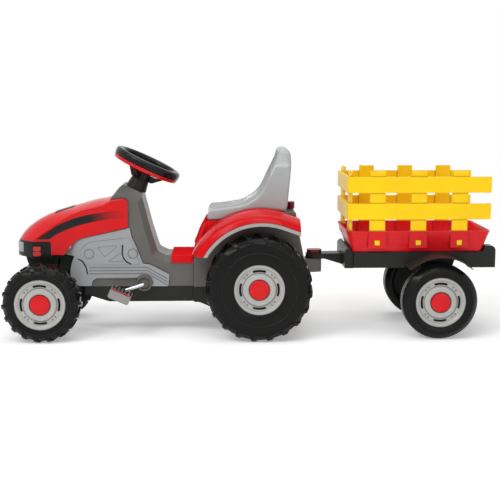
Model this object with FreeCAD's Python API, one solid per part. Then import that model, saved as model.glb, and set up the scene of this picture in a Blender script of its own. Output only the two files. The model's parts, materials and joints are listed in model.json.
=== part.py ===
import FreeCAD, Part
import math
import os

os.makedirs("parts", exist_ok=True)
Vec = FreeCAD.Vector

# Ride-on pedal tractor with a hitched trailer, in millimetres.
# The front points along -X, the rider's left side is -Y and the ground is Z = 0.

# Layout along the length
front_axle_x = -630.0
rear_axle_x = 19.0
hitch_x = 200.0
trailer_axle_x = 565.0
trailer_tail_x = 747.0

# Clearances and common stock
wall = 3.0
seam_gap = 0.4
run_gap = 0.06
press_gap = 0.05
axle_radius = 6.0
bush_wall = 4.0

# Wheels
front_tyre_radius = 117.0
front_tyre_width = 88.0
front_wheel_y = 159.0
rear_tyre_radius = 160.0
rear_tyre_width = 104.0
rear_wheel_y = 160.0
trailer_tyre_radius = 114.0
trailer_tyre_width = 72.0
trailer_wheel_y = 154.0
tyre_wall = 4.5
lug_height = 5.0
rim_radius = 76.0
hub_radius = 15.0
cap_radius = 29.5
disc_depth = 9.0
disc_thickness = 4.0
slot_circle_radius = 57.0
slot_width = 7.0
slot_angle = 34.0
front_lugs = 18
rear_lugs = 20
tyre_shoulder = 16.0
bead_height = 14.0
bead_gap = 0.15
head_height = 3.0

# Body shells
body_half_width = 76.0
rear_half_width = 92.0
body_front_x = -513.0
body_step_x = -178.0
body_rear_x = 159.0
seam_z = 148.0
chassis_floor_z = 100.0
floor_z = 241.0
bay_top_z = 250.0
dash_half_length = 33.0
pedestal_z = 350.0
deck_z = 378.0
console_front_x = -432.0
console_top_z = 416.0
console_foot_x = -418.0
knee_x = -309.0
deck_front_x = 72.0
hood_half_width = 84.0
hood_top_z = 421.0
hood_rear_x = -378.0
nose_x = -727.0
nose_band_bottom_z = 240.0
nose_band_top_z = 289.0
nose_band_rear_x = -612.0
panel_thickness = 4.6
panel_relief = 1.3
groove_width = 3.0
leg_chamfer = 18.0
dash_chamfer = 27.0

# Steering
steer_tilt = 25.5
steer_hub_x = -321.0
steer_hub_z = 520.5
wheel_ring_radius = 95.0
wheel_rim_width = 22.5
wheel_rim_low = -9.0
wheel_rim_high = 14.0
wheel_ring_height = 10.5
wheel_hub_radius = 30.0
dish_depth = 52.0
dash_drop = 86.0
shaft_length = 337.0
pitman_radius = 32.0
pitman_pin_radius = 4.0
knuckle_arm = 45.0
kingpin_y = 95.0
beam_bottom_z = 132.0
beam_height = 28.0
tie_thickness = 6.0
tie_pin_radius = 4.0
tie_eye_radius = 10.0
carrier_half_width = 58.0

# Pedal drive
pitch = 12.7
chainring_teeth = 20
sprocket_teeth = 14
chain_links = 72
roller_radius = 3.9
sprocket_thickness = 3.0
chain_pin_radius = 2.15
chain_y = -45.0
crank_radius = 70.0
crank_lean = 18.0
crank_rod_radius = 5.0
crank_arm_y = 110.0
pedal_length = 66.0
pedal_height = 25.0
pedal_width = 74.0
pedal_lean = 24.0
pedal_inner_y = 124.0
pedal_end = 9.0
crank_boss_radius = 24.0
crank_boss_length = 19.0

# Fenders and seat
fender_inner_y = 95.8
fender_outer_y = 196.0
fender_shift = 8.0
fender_crown_radius = 229.0
fender_lip_radius = 199.0
fender_trim_height = 11.0
fender_tail_angle = 20.0
fender_front_z = 256.0
fender_tail_x = 142.0
seat_half_width = 95.0
seat_top_z = 572.0
seat_front_x = -136.0
seat_pan_z = 386.0
seat_rim_width = 12.0
knob_x = 124.0
knob_radius = 13.0
knob_stud_radius = 5.0

# Hitch and trailer
hitch_top_z = 221.0
tongue_height = 15.0
pin_radius = 6.5
tongue_half_width = 25.0
frame_top_z = 255.0
frame_bottom_z = 207.0
frame_half_width = 110.0
frame_front_x = 313.0
riser_half_width = 98.0
riser_front_x = 285.0
riser_top_z = 266.0
guard_radius = 136.0
stop_height = 19.0
tub_rim_z = 322.0
tub_front_x = 286.0
tub_rear_x = 728.0
tub_half_width = 125.0
tub_draft_x = 22.0
tub_draft_y = 20.0
rail_thickness = 9.0
rail_lap = 4.5
post_width = 47.0
post_thickness = 9.0
post_pitch = 125.5
post_top_z = 504.0
rail_height = 48.0
upper_rail_z = 439.0
lower_rail_z = 358.0
fence_rear_x = 724.0
front_post_y = 84.0


def outline(points, place):
    """Closed wire through (a, b, corner radius) points, laid out in space by place(a, b)."""
    count = len(points)
    entries, exits, middles = [], [], []
    for i, (a, b, radius) in enumerate(points):
        here = Vec(a, b, 0)
        if radius == 0:
            entries.append(here)
            exits.append(here)
            middles.append(None)
            continue
        back = (Vec(points[i - 1][0], points[i - 1][1], 0) - here).normalize()
        ahead = (Vec(points[(i + 1) % count][0], points[(i + 1) % count][1], 0) - here).normalize()
        half = back.getAngle(ahead) / 2
        entries.append(here + back * (radius / math.tan(half)))
        exits.append(here + ahead * (radius / math.tan(half)))
        centre = here + (back + ahead).normalize() * (radius / math.sin(half))
        middles.append(centre + (here - centre).normalize() * radius)
    edges = []
    for i in range(count):
        end = place(exits[i].x, exits[i].y)
        if middles[i] is not None:
            start = place(entries[i].x, entries[i].y)
            middle = place(middles[i].x, middles[i].y)
            edges.append(Part.Arc(start, middle, end).toShape())
        following = entries[(i + 1) % count]
        target = place(following.x, following.y)
        if (target - end).Length > 1e-6:
            edges.append(Part.makeLine(end, target))
    return Part.Wire(edges)


def prism_xz(points, y0, y1):
    """Side outline of (x, z, radius) points, extruded across Y."""
    return Part.Face(outline(points, lambda a, b: Vec(a, y0, b))).extrude(Vec(0, y1 - y0, 0))


def prism_xy(points, z0, z1):
    """Plan outline of (x, y, radius) points, extruded upwards."""
    return Part.Face(outline(points, lambda a, b: Vec(a, b, z0))).extrude(Vec(0, 0, z1 - z0))


def prism_yz(points, x0, x1):
    """Front outline of (y, z, radius) points, extruded along X."""
    return Part.Face(outline(points, lambda a, b: Vec(x0, a, b))).extrude(Vec(x1 - x0, 0, 0))


def strip(points, width):
    """Outline of a strip of that width along a line of (a, b, bend radius) points, with square ends."""
    left, right = [], []
    for i, (a, b, radius) in enumerate(points):
        before = points[max(i - 1, 0)]
        after = points[min(i + 1, len(points) - 1)]
        here = Vec(a, b, 0)
        back = (here - Vec(before[0], before[1], 0)) if i else (Vec(after[0], after[1], 0) - here)
        ahead = (Vec(after[0], after[1], 0) - here) if i < len(points) - 1 else back
        back.normalize()
        ahead.normalize()
        normal = Vec(-back.y - ahead.y, back.x + ahead.x, 0).normalize()
        reach = width / 2 / normal.dot(Vec(-back.y, back.x, 0))
        turns_left = back.x * ahead.y - back.y * ahead.x > 0
        widen = -width / 2 if turns_left else width / 2
        left.append((a + normal.x * reach, b + normal.y * reach, radius + widen if radius else 0))
        right.append((a - normal.x * reach, b - normal.y * reach, radius - widen if radius else 0))
    return left + right[::-1]


def inset_prism(points, inset, y0, y1):
    """Side outline drawn in by an inset and extruded across Y."""
    wire = outline(points, lambda a, b: Vec(a, y0, b))
    return Part.Face(wire.makeOffset2D(-inset)).extrude(Vec(0, y1 - y0, 0))


def turned(points, x, z, start=0.0, sweep=360.0):
    """(y, r, radius) section turned about a line along Y through (x, z); angles run from +Z to +X."""
    face = Part.Face(outline(points, lambda a, b: Vec(x, a, z + b)))
    face.rotate(Vec(x, 0, z), Vec(0, 1, 0), start)
    return face.revolve(Vec(x, 0, z), Vec(0, 1, 0), sweep)


def box(x0, x1, y0, y1, z0, z1):
    return Part.makeBox(x1 - x0, y1 - y0, z1 - z0, Vec(x0, y0, z0))


def rod(radius, start, end):
    return Part.makeCylinder(radius, (end - start).Length, start, end - start)


def cross_rod(radius, x, z, y0, y1):
    return rod(radius, Vec(x, y0, z), Vec(x, y1, z))


def cross_ring(outer, inner, x, z, y0, y1):
    return cross_rod(outer, x, z, y0, y1).cut(cross_rod(inner, x, z, y0 - 1, y1 + 1))


def bent_rod(points, radius, bend):
    """Round bar along straight runs joined by tangent bends."""
    edges = []
    start = points[0]
    for before, here, after in zip(points, points[1:], points[2:]):
        back = (before - here).normalize()
        ahead = (after - here).normalize()
        half = back.getAngle(ahead) / 2
        leave = here + back * (bend / math.tan(half))
        rejoin = here + ahead * (bend / math.tan(half))
        centre = here + (back + ahead).normalize() * (bend / math.sin(half))
        edges.append(Part.makeLine(start, leave))
        edges.append(Part.Arc(leave, centre + (here - centre).normalize() * bend, rejoin).toShape())
        start = rejoin
    edges.append(Part.makeLine(start, points[-1]))
    section = Part.Wire(Part.makeCircle(radius, points[0], points[1] - points[0]))
    return Part.Wire(edges).makePipeShell([section], True, False)


def fuse_all(shapes):
    return shapes[0].multiFuse(shapes[1:]).removeSplitter()


def mirrored(shape):
    """The same piece on the other side of the tractor."""
    return shape.mirror(Vec(0, 0, 0), Vec(0, 1, 0))


def save(name, shape):
    shape.exportStep("parts/" + name + ".step")


# Chain layout. The centre distance follows from the pitch and the number of links.
chainring_radius = pitch / (2 * math.sin(math.pi / chainring_teeth))
sprocket_radius = pitch / (2 * math.sin(math.pi / sprocket_teeth))


def chain_pitches(distance):
    """Pitches round the loop for two sprockets that far apart, and the slant of its straight runs."""
    slant = math.asin((chainring_radius - sprocket_radius) / distance)
    straight = distance * math.cos(slant) / pitch
    front = chainring_teeth * (0.5 + slant / math.pi)
    rear = sprocket_teeth * (0.5 - slant / math.pi)
    return straight, front, rear, slant


def chain_distance():
    """Centre distance at which the loop is exactly the stated number of links."""
    short = chainring_radius + sprocket_radius
    long = chain_links * pitch
    for _ in range(60):
        middle = (short + long) / 2
        straight, front, rear, slant = chain_pitches(middle)
        if 2 * straight + front + rear < chain_links:
            short = middle
        else:
            long = middle
    return short


centre_distance = chain_distance()
rear_axle_z = rear_tyre_radius
front_axle_z = front_tyre_radius
trailer_axle_z = trailer_tyre_radius
crank_x = rear_axle_x - centre_distance
crank_z = rear_axle_z
pedal_dx = -crank_radius * math.cos(math.radians(crank_lean))
pedal_dz = -crank_radius * math.sin(math.radians(crank_lean))
hub_top_z = -dish_depth + 20.0
tie_bottom_z = beam_bottom_z + beam_height + 16.0
tie_x = front_axle_x + knuckle_arm
beam_top_z = beam_bottom_z + beam_height
hood_length = hood_rear_x - nose_x
seat_base_top_z = pedestal_z + seam_gap + wall
seat_foot_z = seat_base_top_z + seam_gap
fence_y = tub_half_width - 8.0
post_front_x = tub_front_x + 10.0
fence_front_x = post_front_x - rail_lap - rail_thickness / 2
fender_x = rear_axle_x + fender_shift
post_foot_z = tub_rim_z - 48.0
front_foot_z = tub_rim_z - 24.0


# Wheels

def tyre_carcass(radius, width):
    """Blow-moulded tyre: an open-bottomed ring whose beads close on the rim."""
    half = width / 2
    inside = half - tyre_wall
    crown = radius - tyre_wall
    bead = rim_radius + bead_gap
    flank = bead + bead_height
    lip = 3.0
    right = [(half - lip, bead, 0), (half, flank, 8), (half, radius - tyre_shoulder, 12),
             (half - tyre_shoulder, radius, 10)]
    right_inside = [(inside - bead_height, crown, 0), (inside, crown - bead_height, 0), (inside, flank, 0),
                    (inside - lip, bead, 0)]
    left = [(-y, r, corner) for y, r, corner in reversed(right)]
    left_inside = [(-y, r, corner) for y, r, corner in reversed(right_inside)]
    return turned(right + left + left_inside + right_inside, 0, 0)


def tyre_lugs(radius, width, count):
    """Chevron bars in two staggered rows, from just past the crown down over each shoulder."""
    half = width / 2
    root = radius - lug_height - 2
    flank = radius - 30
    reach = radius * math.sin(math.pi / count)
    bar = [(-5, -4, 0), (6, -4, 0), (reach + 6, half + 2, 0), (reach - 6, half + 2, 0)]
    blank = prism_xy(bar, flank, radius + lug_height)
    shell = turned([(-6, root, 0), (-6, radius, 0), (half - 14, radius, 12), (half - 2, radius - 14, 8),
                    (half - 2, flank, 0), (half - tyre_wall, flank, 0), (half - 20, root, 0)], 0, 0)
    lug = blank.common(shell)
    lugs = []
    for i in range(count):
        right = lug.copy()
        right.rotate(Vec(0, 0, 0), Vec(0, 1, 0), 360.0 * i / count)
        left = mirrored(lug)
        left.rotate(Vec(0, 0, 0), Vec(0, 1, 0), 360.0 * (i + 0.5) / count)
        lugs += [right, left]
    return lugs


def lugged_tyre(radius, width, count):
    tyre = tyre_carcass(radius - lug_height, width).multiFuse(tyre_lugs(radius, width, count))
    tyre.rotate(Vec(0, 0, 0), Vec(0, 1, 0), 180.0)
    return tyre


def ribbed_tyre(radius, width):
    """Trailer tyre: a plain tread with three running grooves."""
    tyre = tyre_carcass(radius, width)
    for y in (-width / 5, 0, width / 5):
        tyre = tyre.cut(turned([(y - 2.5, radius + 1, 0), (y - 1.5, radius - 3, 0),
                                (y + 1.5, radius - 3, 0), (y + 2.5, radius + 1, 0)], 0, 0))
    return tyre


def wheel_rim(width):
    """Hollow rim: barrel, hub tube, back disc and a face disc that is pierced by four curved slots."""
    half = width / 2
    bore = axle_radius + run_gap
    face = half - disc_depth
    back = face - disc_thickness
    section = [
        (2 - half, bore, 0), (2 - half, hub_radius, 0), (8 - half, hub_radius, 0),
        (8 - half, rim_radius, 0), (half - 4, rim_radius, 2),
        (half - 4, rim_radius - 7, 2), (face, rim_radius - 12, 0), (face, 50, 0), (face + 4, 46, 2),
        (face + 4, cap_radius + 3, 1.5), (face, cap_radius + 1.5, 0), (face, bore, 0)]
    inside = 8 - half + wall
    hollow = [(inside, hub_radius, 0), (back, hub_radius, 0), (back, rim_radius - wall, 0),
              (inside, rim_radius - wall, 0)]
    rim = turned(section, 0, 0).cut(turned(hollow, 0, 0))
    for quarter in range(4):
        rim = rim.cut(face_slot(face, back, 90.0 * quarter))
    return rim


def face_slot(face, back, angle):
    """Curved slot with round ends, centred at an angle round the hub."""
    low = slot_circle_radius - slot_width / 2
    high = slot_circle_radius + slot_width / 2
    slot = turned([(back - 1, low, 0), (back - 1, high, 0), (face + 1, high, 0), (face + 1, low, 0)],
                  0, 0, angle - slot_angle / 2, slot_angle)
    ends = []
    for side in (-0.5, 0.5):
        turn = math.radians(angle + side * slot_angle)
        ends.append(cross_rod(slot_width / 2, slot_circle_radius * math.sin(turn),
                              slot_circle_radius * math.cos(turn), back - 1, face + 1))
    return slot.multiFuse(ends)


def hub_cap(width):
    """Domed cap that covers the axle's end in the middle of the disc."""
    seat = width / 2 - disc_depth + seam_gap
    section = [(seat, cap_radius - 2.5, 0), (seat, cap_radius, 0), (seat + 5, cap_radius, 2),
               (seat + 7, cap_radius - 9, 12), (seat + 7, 0, 0), (seat + 4.5, 0, 0),
               (seat + 4.5, cap_radius - 9, 0), (seat + 3, cap_radius - 2.5, 0)]
    return turned(section, 0, 0)


def place_wheels(prefix, tyre, width, x, y, z):
    """Saves tyre, rim and cap of a pair of wheels at their axle's ends."""
    for kind, shape in (("tyre", tyre), ("rim", wheel_rim(width)), ("cap", hub_cap(width))):
        shape.translate(Vec(x, y, z))
        save(prefix + "_" + kind + "_right", shape)
        save(prefix + "_" + kind + "_left", mirrored(shape))


def axle_end(x, z, y_centre, width):
    """Peened head on the axle just outside the wheel's face disc, on the +Y side."""
    start = y_centre + width / 2 - disc_depth + seam_gap
    return cross_rod(axle_radius + head_height, x, z, start, start + head_height)


def through_axle(x, z, y_centre, width):
    """Axle bar through a pair of wheels, with a peened head at each end."""
    outer = y_centre + width / 2 - disc_depth + seam_gap + head_height
    head = axle_end(x, z, y_centre, width)
    return cross_rod(axle_radius, x, z, -outer, outer).multiFuse([head, mirrored(head)])


# Body shells

def stepped_shell(points, inner_points):
    """Hollow shell whose rear part is wider than its front part."""
    outer = prism_xz(points, -rear_half_width, rear_half_width)
    inner = inset_prism(inner_points, wall, wall - rear_half_width, rear_half_width - wall)
    for side in (-1, 1):
        low, high = sorted((side * body_half_width, side * (rear_half_width + 1)))
        outer = outer.cut(box(body_front_x - 1, body_step_x, low, high, 0, pedestal_z))
        low, high = sorted((side * (body_half_width - wall), side * (rear_half_width + 1)))
        inner = inner.cut(box(body_front_x - 1, body_step_x + wall, low, high, 0, pedestal_z))
    return outer.cut(inner)


def chassis_frame():
    """Trough under the body: it carries the drive line and rises towards both ends."""
    low = chassis_floor_z - 15

    def side(top):
        return [(body_front_x, top, 0), (body_front_x, chassis_floor_z + 24, 8),
                (body_front_x + 73, chassis_floor_z, 30), (body_step_x + 16, chassis_floor_z, 20),
                (body_step_x + 50, low, 20), (body_rear_x - 95, low, 40),
                (body_rear_x, chassis_floor_z + 22, 8), (body_rear_x, top, 0)]

    return stepped_shell(side(seam_z), side(seam_z + 50))


def main_body_side(bottom, trim):
    """Side outline of the engine bay, dashboard and foot tunnel; trim draws in the edges by the legs."""
    slope = math.tan(math.radians(steer_tilt))
    dash = steer_point(-dash_drop)
    front = dash.x - dash_half_length - 1
    rear = dash.x + dash_half_length - 13
    front_z = dash.z + (dash.x - front) * slope
    rear_z = dash.z + (dash.x - rear) * slope
    return [(body_front_x, bottom, 0), (body_front_x, bay_top_z, 0), (console_foot_x, bay_top_z, 0),
            (console_front_x, console_top_z, 0), (front - 12, front_z - 7, 4), (front, front_z, 4),
            (rear - trim, rear_z + trim * slope, 12), (knee_x - trim, floor_z + 77, 200),
            (knee_x + 20 - trim, floor_z + 13 - trim / 2, 20), (knee_x + 47 - trim / 2, floor_z - trim, 20),
            (body_step_x, floor_z - trim, 0), (body_step_x, bottom, 0)]


def leg_space_prism(bottom, inset):
    """Main body blank, drawn in by an inset, with its edges chamfered where the rider's legs pass."""
    half = body_half_width - inset
    shoulder = half - leg_chamfer
    wires = []
    for y, trim in ((-half, leg_chamfer), (-shoulder, 0.0), (shoulder, 0.0), (half, leg_chamfer)):
        wire = outline(main_body_side(bottom, trim), lambda a, b, y=y: Vec(a, y, b))
        wires.append(wire.makeOffset2D(-inset) if inset else wire)
    blank = Part.makeLoft(wires, True, True)
    corner = body_half_width - dash_chamfer - inset * math.sqrt(2)
    reach = body_half_width + 5
    bevel = prism_yz([(corner - 9, 9, 0), (reach, 9, 0), (reach, corner - reach, 0)], -70, 60)
    bevel.translate(Vec(0, 0, -dash_drop))
    return blank.cut(steer_placed(bevel.copy())).cut(steer_placed(mirrored(bevel)))


def steer_point(height):
    """Point on the steering axis, that far above the steering wheel's plane."""
    lean = math.radians(steer_tilt)
    return Vec(steer_hub_x + height * math.sin(lean), 0, steer_hub_z + height * math.cos(lean))


def steer_placed(shape):
    """Puts a shape drawn about Z, with the steering wheel's plane at Z = 0, onto the steering axis."""
    shape.rotate(Vec(0, 0, 0), Vec(0, 1, 0), steer_tilt)
    shape.translate(steer_point(0))
    return shape


def steer_rod(radius, low, high):
    return steer_placed(rod(radius, Vec(0, 0, low), Vec(0, 0, high)))


def lower_bush_height():
    """Height along the steering axis of the bush in the engine bay's roof."""
    return -(steer_hub_z - bay_top_z) / math.cos(math.radians(steer_tilt))


def main_body():
    """Engine bay, dashboard and foot tunnel in one shell, with the steering shaft's bearing boss."""
    half = body_half_width
    bush = axle_radius + bush_wall
    middle = lower_bush_height()
    boss = steer_rod(bush + 5, middle - 22, middle + 18)
    inner = leg_space_prism(seam_z - 50, wall)
    body = leg_space_prism(seam_z, 0).fuse(boss).cut(inner.cut(boss))
    tail_top = floor_z - leg_chamfer - wall
    tail = box(body_step_x - wall - 1, body_step_x + 1, wall - half, half - wall, seam_z - 1, tail_top)
    window_top = tie_bottom_z + tie_thickness + 12
    window = box(body_front_x - 1, body_front_x + wall + 1, -50, 50, seam_z - 1, window_top)
    shaft_bore = steer_rod(bush, middle - 40, -dash_drop)
    dash_hole = steer_rod(axle_radius + 14, -dash_drop - 20, -dash_drop + 20)
    crank_hole = cross_rod(crank_rod_radius + bush_wall, crank_x, crank_z, -half, half)
    for opening in (tail, window, shaft_bore, dash_hole, crank_hole):
        body = body.cut(opening)
    return body


def rear_body_side(bottom):
    """Side outline of the gearbox housing under the seat and its rear deck."""
    return [(body_step_x, bottom, 0), (body_step_x, floor_z - 5, 0), (body_step_x + 40, pedestal_z - 6, 12),
            (body_step_x + 54, pedestal_z, 12), (deck_front_x - 11, pedestal_z, 6), (deck_front_x, deck_z, 8),
            (body_rear_x - 25, deck_z, 6), (body_rear_x - 13, floor_z + 64, 60), (body_rear_x, floor_z, 40),
            (body_rear_x, bottom, 0)]


def rear_body():
    """Gearbox housing with the rear axle's bearing holes and the seat knob's hole in its deck."""
    half = rear_half_width
    body = prism_xz(rear_body_side(seam_z), -half, half)
    body = body.cut(inset_prism(rear_body_side(seam_z - 50), wall, wall - half, half - wall))
    inner = body_half_width - wall
    front_window = box(body_step_x - 1, body_step_x + wall + 1, -inner, inner, seam_z - 1, floor_z - 12)
    axle_hole = cross_rod(axle_radius + bush_wall, rear_axle_x, rear_axle_z, -half, half)
    knob_hole = rod(knob_stud_radius + run_gap, Vec(knob_x, 0, deck_z - 10), Vec(knob_x, 0, deck_z + 5))
    for opening in (front_window, axle_hole, knob_hole):
        body = body.cut(opening)
    return body


def hood_curve(share, inset):
    """Top line of the hood; share runs from 0 on the centre line to 1 at the crease."""
    middle = [(0.0, 145), (0.054, 113), (0.192, 73), (0.347, 48), (0.51, 31), (0.645, 17), (0.779, 7),
              (0.857, 2), (1.0, 0)]
    crease = [(0.169, 135), (0.206, 118), (0.307, 95), (0.407, 71), (0.542, 45), (0.673, 30), (0.794, 20),
              (0.865, 8), (1.0, 6)]
    points = []
    for (middle_along, middle_drop), (crease_along, crease_drop) in zip(middle, crease):
        along = middle_along + (crease_along - middle_along) * share
        drop = middle_drop + (crease_drop - middle_drop) * share
        points.append(Vec(nose_x + hood_length * along + inset, 0, hood_top_z - drop - inset))
    return points


def hood_solid(inset, bottom):
    """Hood blank: side sections from crease to crease, lofted across the width."""
    half = hood_half_width - inset
    wires = []
    for station in (-1.0, -0.72, -0.38, 0.0, 0.38, 0.72, 1.0):
        points = [p + Vec(0, half * station, 0) for p in hood_curve(station * station, inset)]
        top = Part.BSplineCurve()
        top.interpolate(points)
        front = Vec(points[0].x, points[0].y, bottom)
        rear = Vec(points[-1].x, points[-1].y, bottom)
        wires.append(Part.Wire([Part.makeLine(front, points[0]), top.toShape(),
                                Part.makeLine(points[-1], rear), Part.makeLine(rear, front)]))
    return Part.makeLoft(wires, True, False)


def hood_edge(drop):
    """Arched lower edge of the hood's sides, from the front wheel arch to the dashboard."""
    return [(front_axle_x + 56, bay_top_z - 3 - drop, 0), (front_axle_x + 94, bay_top_z + 45 - drop, 70),
            (hood_rear_x + 8, bay_top_z + 83 - drop, 0)]


def hood():
    """Moulded engine hood, open below, with a cut-out behind for the dashboard."""
    low = bay_top_z - 70
    shell = hood_solid(0, low + 20).cut(hood_solid(wall, low + 10))
    below = [(nose_x - 20, low, 0), (nose_x - 20, nose_band_top_z, 0), (nose_band_rear_x, nose_band_top_z, 8),
             (nose_band_rear_x, bay_top_z - 3, 4)] + hood_edge(0) + [(hood_rear_x + 8, low, 0)]
    shell = shell.cut(prism_xz(below, -hood_half_width - 1, hood_half_width + 1))
    half = body_half_width + seam_gap
    front = console_front_x - seam_gap
    return shell.cut(box(front, hood_rear_x + 1, -half, half, low, hood_top_z + 50))


def nose_band():
    """Black band round the nose that holds the lamps, with a floor that rests on the front carrier."""
    low = nose_band_bottom_z
    top = nose_band_top_z - seam_gap
    rear = nose_band_rear_x - seam_gap
    shell = hood_solid(0, low).cut(hood_solid(wall + 1, low + wall))
    keep = [(nose_x - 20, low, 0), (nose_x - 20, top, 0), (rear, top, 8), (rear, low, 0)]
    return shell.common(prism_xz(keep, -hood_half_width, hood_half_width))


def engine_panel():
    """Engine side cover on the left: a plate that bends inwards at its front end to free the tyre."""
    back = body_half_width + seam_gap
    front = back + panel_thickness
    bend_x = body_front_x - 22
    bend_length = 65.0
    bend_depth = 34.0
    tail_x = -240.0
    plan = [(bend_x - bend_length, bend_depth - front, 0), (bend_x, -front, 90), (tail_x, -front, 0),
            (tail_x, -back, 0), (bend_x, -back, 90), (bend_x - bend_length, bend_depth - back, 0)]
    foot = seam_z + 26
    front_edge = [(-543, 243, 3), (-552, 223, 40), (-558, 196, 40), (-556, 170, 10), (-532, seam_z + 2, 6)]
    lower_edge = [(-492, seam_z + 2, 3), (-489, foot - 8, 5), (-476, foot, 6), (-309, foot, 0),
                  (-309, seam_z, 0), (-257, seam_z, 3), (-253, foot + 11, 8)]
    rear_edge = [(-315, 217, 10), (-334, 218, 6), (-354, 272, 60), (-367, 300, 20), (-373, 330, 3)]
    top_edge = list(reversed(hood_edge(1.0)))[1:]
    side = prism_xz(front_edge + lower_edge + rear_edge + top_edge, -front - 1, 0)
    plate = prism_xy(plan, seam_z - 8, hood_top_z).common(side)
    boss = cross_rod(crank_boss_radius + seam_gap, crank_x, crank_z, -front - 1, 0)
    return plate.cut(boss).cut(panel_pattern(front))


def panel_pattern(face):
    """Pattern sunk into an engine cover: a field under an arched line, braces, rings, slots and ribs."""
    sunk = panel_relief - face
    field = [(-541, 238, 2), (-507, 286, 50), (-373, 301, 3), (-359, 268, 40), (-341, 214, 3), (-508, 214, 3),
             (-522, 229, 8)]
    shapes = [prism_xz(field, -face - 1, sunk)]
    deeper = sunk + panel_relief
    upper_brace = [(-475, 271, 4), (-404, 277, 4), (-451, 239, 4)]
    lower_brace = [(-446, 224, 4), (-394, 258, 4), (-393, 224, 4)]
    shapes += [prism_xz(brace, sunk - 1, deeper) for brace in (upper_brace, lower_brace)]
    shapes += [cross_ring(16, 16 - groove_width, x, 250, -face - 1, deeper) for x in (-498, -364)]
    front_slot = [(-540, 236, 0), (-519, 229, 24), (-507, 207, 40), (-504, 186, 0)]
    rear_slot = [(-395, 277, 0), (-397, 244, 30), (-386, 225, 24), (-370, 217, 0)]
    shapes += [prism_xz(strip(line, 4.0), -face - 1, deeper) for line in (front_slot, rear_slot)]
    for z in (207.0, 197.5, 188.0):
        rib = [(-499, z, 0), (-321, z, 8), (-259, z - 36, 0)]
        shapes.append(prism_xz(strip(rib, groove_width), -face - 1, sunk))
    return shapes[0].multiFuse(shapes[1:])


def front_carrier():
    """Ribbed front bracket between the body and the axle beam, with a see-through slot."""
    half = carrier_half_width
    axle = front_axle_x
    rear = body_front_x - 2 * wall
    step = axle + 16
    clear = tie_bottom_z + tie_thickness + 13
    top = nose_band_bottom_z
    outer = [(body_front_x, clear, 0), (body_front_x, top, 0), (axle - 64, top, 0), (axle - 60, top - 15, 4),
             (axle - 39, beam_top_z, 8), (step, beam_top_z, 0), (step, clear, 0)]
    below = beam_top_z - 10
    inner = [(rear, clear - 10, 0), (rear, top - wall, 0), (axle - 55, top - wall, 0),
             (axle - 51, top - 13, 3), (axle - 31, below, 0), (step - wall, below, 0),
             (step - wall, clear + wall, 0), (step + wall, clear + wall, 0), (step + wall, clear - 10, 0)]
    slot = [(axle + 30, top - 38, 2), (axle + 34, top - 8, 2),
            (axle + 42, top - 8, 2), (axle + 38, top - 38, 2)]
    body = prism_xz(outer, -half, half).cut(prism_xz(inner, wall - half, half - wall))
    return body.cut(prism_xz(slot, -half - 1, half + 1))


def front_axle_beam():
    """Cross beam with an upright bearing eye for the kingpin at each end."""
    half = beam_height / 2 + 1
    eye_radius = axle_radius + 8
    lightening = kingpin_y - 24
    beam = box(front_axle_x - half, front_axle_x + half, -kingpin_y, kingpin_y, beam_bottom_z, beam_top_z)
    for face in (front_axle_x - half, front_axle_x + half):
        beam = beam.cut(box(face - 8, face + 8, -lightening, lightening, beam_bottom_z + 6, beam_top_z - 6))
    for y in (-kingpin_y, kingpin_y):
        low = Vec(front_axle_x, y, beam_bottom_z - 4)
        beam = beam.fuse(rod(eye_radius, low, Vec(front_axle_x, y, beam_top_z + 4)))
    for y in (-kingpin_y, kingpin_y):
        low = Vec(front_axle_x, y, beam_bottom_z - 10)
        beam = beam.cut(rod(axle_radius + run_gap, low, Vec(front_axle_x, y, beam_top_z + 10)))
    return beam.removeSplitter()


def seat_base():
    """Red saddle over the tunnel that climbs to the seat and covers the gearbox housing."""
    step = body_step_x
    tunnel_y = body_half_width + seam_gap
    tunnel_z = floor_z + seam_gap
    low = floor_z - 21
    rear = deck_front_x - 17
    saddle = box(step - 69, step, -tunnel_y - wall, tunnel_y + wall, floor_z - 21, tunnel_z + wall)
    saddle = saddle.cut(box(step - 72, step + 1, -tunnel_y, tunnel_y, floor_z - 31, tunnel_z))
    inside = rear_half_width + seam_gap
    outside = inside + wall
    front = step - wall - seam_gap
    under = pedestal_z + seam_gap
    outer = [(front, low, 0), (front, floor_z - 6, 0), (step + 38, pedestal_z, 14),
             (step + 52, seat_base_top_z, 14), (rear, seat_base_top_z, 0), (rear, low, 0)]
    inner = [(step - seam_gap, low - 10, 0), (step - seam_gap, floor_z - 5, 0),
             (step + 40, pedestal_z - 6, 12), (step + 54, under, 12), (rear + 2, under, 0),
             (rear + 2, low - 10, 0)]
    cover = prism_xz(outer, -outside, outside).cut(prism_xz(inner, -inside, inside))
    wheel_room = cross_rod(fender_crown_radius - wall, fender_x, rear_axle_z, -outside - 1, outside + 1)
    wheel_room = wheel_room.cut(box(-300, 300, -inside, inside, 0, seat_top_z))
    tunnel = box(step - 20, step + wall, -tunnel_y, tunnel_y, low - 10, tunnel_z)
    return saddle.fuse(cover.cut(wheel_room).cut(tunnel)).removeSplitter()


def fender_path(section):
    """Runs a section over the rear wheel: an arc from the front, then a straight tail."""
    start = 70.0
    face = Part.Face(outline(section, lambda a, b: Vec(fender_x, a, rear_axle_z + b)))
    axis = Vec(0, 1, 0)
    centre = Vec(fender_x, 0, rear_axle_z)
    face.rotate(centre, axis, -start)
    arc = face.revolve(centre, axis, start + fender_tail_angle)
    face.rotate(centre, axis, start + fender_tail_angle)
    lean = math.radians(fender_tail_angle)
    length = (fender_tail_x - fender_x) / math.cos(lean)
    tail = face.extrude(Vec(length * math.cos(lean), 0, -length * math.sin(lean)))
    keep = box(fender_x - 300, fender_tail_x, -300, 300, fender_front_z, 500)
    return arc.fuse(tail).common(keep).removeSplitter()


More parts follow.
